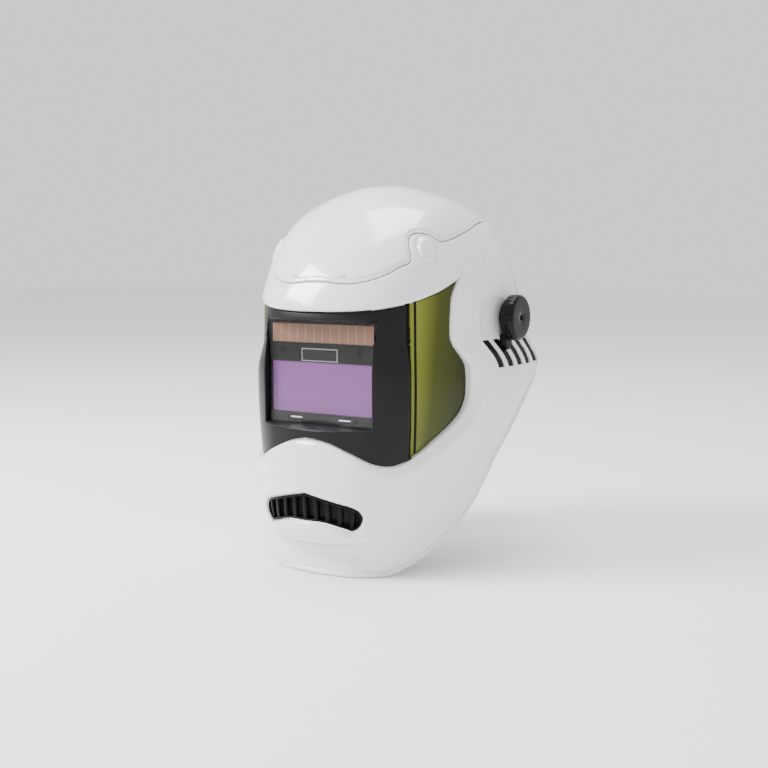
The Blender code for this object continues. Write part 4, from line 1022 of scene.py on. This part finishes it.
def make_gaskets():
    """The thin black seal down each side window, and the strip that joins it to the dark frame."""
    seal = [(50.0, 2.3, TEMPLE_WIDTH), (51.0, 2.3, TEMPLE_WIDTH), (51.2, 3.4, TEMPLE_WIDTH),
            (49.8, 3.4, TEMPLE_WIDTH)]
    strip = [(46.2, 7.0, HALF_WIDTH), (49.2, 4.2, TEMPLE_WIDTH), (49.2, 6.5, TEMPLE_WIDTH),
             (46.2, 10.5, HALF_WIDTH)]
    for kind, corners, top, foot in (("window_seal", seal, 18.3, -110), ("frame_seal", strip, 16, -115.5)):
        heights = np.linspace(top, foot, 60)
        chains = [cast_level(degrees, heights, inset, widths) for degrees, inset, widths in corners]
        for word, sign in (("left", 1), ("right", -1)):
            columns = [[(sign * p[0], p[1], p[2]) for p in ring] for ring in zip(*chains)]
            name = kind + "_" + word
            add(name, loft_mesh(name, columns), "satin_black", "helmet")


def cast_level(degrees, heights, inset, widths):
    """Where level rays at an angle, one for each height, reach a depth under the skin."""
    turn = math.radians(degrees)
    start = np.stack([0 * heights, 0 * heights + AXIS_Y, heights], -1)
    along = np.array([math.sin(turn), -math.cos(turn), 0])
    low, high = np.zeros(len(heights)), np.full(len(heights), 200.0)
    for _ in range(24):
        middle = (low + high) / 2
        inside = outside(start + along * middle[:, None], widths) < -inset
        low, high = np.where(inside, middle, low), np.where(inside, high, middle)
    return start + along * low[:, None]


def make_bush_tabs():
    """The black lug under each tilt knob."""
    for word, sign in (("left", 1), ("right", -1)):
        rings = []
        for x, grow in ((104.5, -0.4), (105.2, 0.2), (110.0, 0.2), (111.0, -0.6)):
            outline = rounded_box(4.6 + grow, 6.2 + grow, 1.6, 4)
            rings.append([(sign * x, -5.5 + a, -21.5 + b - 0.35 * a) for a, b in outline])
        add("pivot_lug_" + word, loft_mesh("pivot_lug_" + word, rings), "satin_black", "helmet")


def make_headgear():
    make_headband()
    make_pads()
    make_crown_straps()
    make_knobs()
    make_lens()
    make_gaskets()
    make_bush_tabs()


# ---- what stays as it is in the CAD

KEPT_MATERIALS = {
    "filter_case": "plate_black", "lcd_panel": "lcd_violet", "solar_panel": "solar_cells",
    "label_plate": "label_face", "circuit_board": "board_green", "filter_rear_cover": "satin_dark",
    "inner_cover_lens": "clear_lens", "filter_retainer": "satin_dark",
    "test_button": "control_red", "mode_switch": "control_red", "crown_strap_pin": "satin_black",
}
KEPT_STARTS = [
    ("arc_sensor", "satin_black"), ("battery_cap", "control_grey"), ("battery_", "bright_steel"),
    ("pivot_bolt", "bright_steel"), ("friction_washer", "bright_steel"), ("tilt_stop_pin", "bright_steel"),
    ("ratchet_pinion", "bright_steel"), ("pivot_bush", "satin_black"),
]


def finish_kept():
    """Softens the edges of each CAD node still showing, and gives it its material."""
    for name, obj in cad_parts.items():
        if obj.hide_render:
            continue
        words = [m for start, m in KEPT_STARTS if name.startswith(start)]
        finish = KEPT_MATERIALS.get(name) or (words[0] if words else None)
        if not finish:
            finish = "control_grey" if name.endswith("_dial") else "headgear_dark"
        obj.data.materials.clear()
        obj.data.materials.append(MATERIALS[finish])
        low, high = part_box(name)
        thin = min(high - low)
        bevel = obj.modifiers.new("soft_edges", "BEVEL")
        bevel.width = min(0.0006, 0.2 * thin)
        bevel.segments = 2
        bevel.limit_method = "ANGLE"
        bevel.angle_limit = math.radians(32)
        bevel.harden_normals = True


# ---- studio

CAMERA_PLACE = (0.5830, -0.9768, 0.0614)
CAMERA_BACK = (0.524, -0.844, 0.112)
CAMERA_LENS = 56.35


def area_light(name, place, target, size, power):
    data = bpy.data.lights.new(name, "AREA")
    data.shape = "RECTANGLE"
    data.size = data.size_y = size
    data.energy = power
    light = bpy.data.objects.new(name, data)
    bpy.context.scene.collection.objects.link(light)
    light.location = place
    light.rotation_mode = "QUATERNION"
    light.rotation_quaternion = (Vector(target) - Vector(place)).to_track_quat("-Z", "Y")


def make_studio():
    """Floor, light and the camera at the photograph's angle."""
    bm = bmesh.new()
    bmesh.ops.create_grid(bm, x_segments=1, y_segments=1, size=6)
    bm.transform(Matrix.Translation((0, 0, CHIN_Z * MM - 0.0006)))
    mesh = bpy.data.meshes.new("floor")
    bm.to_mesh(mesh)
    bm.free()
    floor = bpy.data.objects.new("floor", mesh)
    bpy.context.scene.collection.objects.link(floor)
    material("floor_pale", (0.94, 0.94, 0.94), 0.8, grain=0.02)
    mesh.materials.append(MATERIALS["floor_pale"])
    world = bpy.data.worlds.new("studio")
    bpy.context.scene.world = world
    world.use_nodes = True
    sky = world.node_tree.nodes["Background"]
    sky.inputs["Color"].default_value = (1, 1, 1, 1)
    sky.inputs["Strength"].default_value = 1.15
    area_light("key", (-1.1, -1.0, 1.0), (0, -0.05, -0.03), 0.7, 60)
    area_light("top", (-0.1, 0.1, 1.7), (0, -0.05, 0), 0.9, 30)
    data = bpy.data.cameras.new("camera")
    data.lens, data.sensor_width = CAMERA_LENS, 36
    data.clip_start, data.clip_end = 0.01, 50
    camera = bpy.data.objects.new("camera", data)
    bpy.context.scene.collection.objects.link(camera)
    camera.location = CAMERA_PLACE
    camera.rotation_mode = "QUATERNION"
    camera.rotation_quaternion = Vector(CAMERA_BACK).to_track_quat("Z", "Y")
    bpy.context.scene.camera = camera


make_materials()
make_helmet()
make_headgear()
finish_kept()
make_studio()
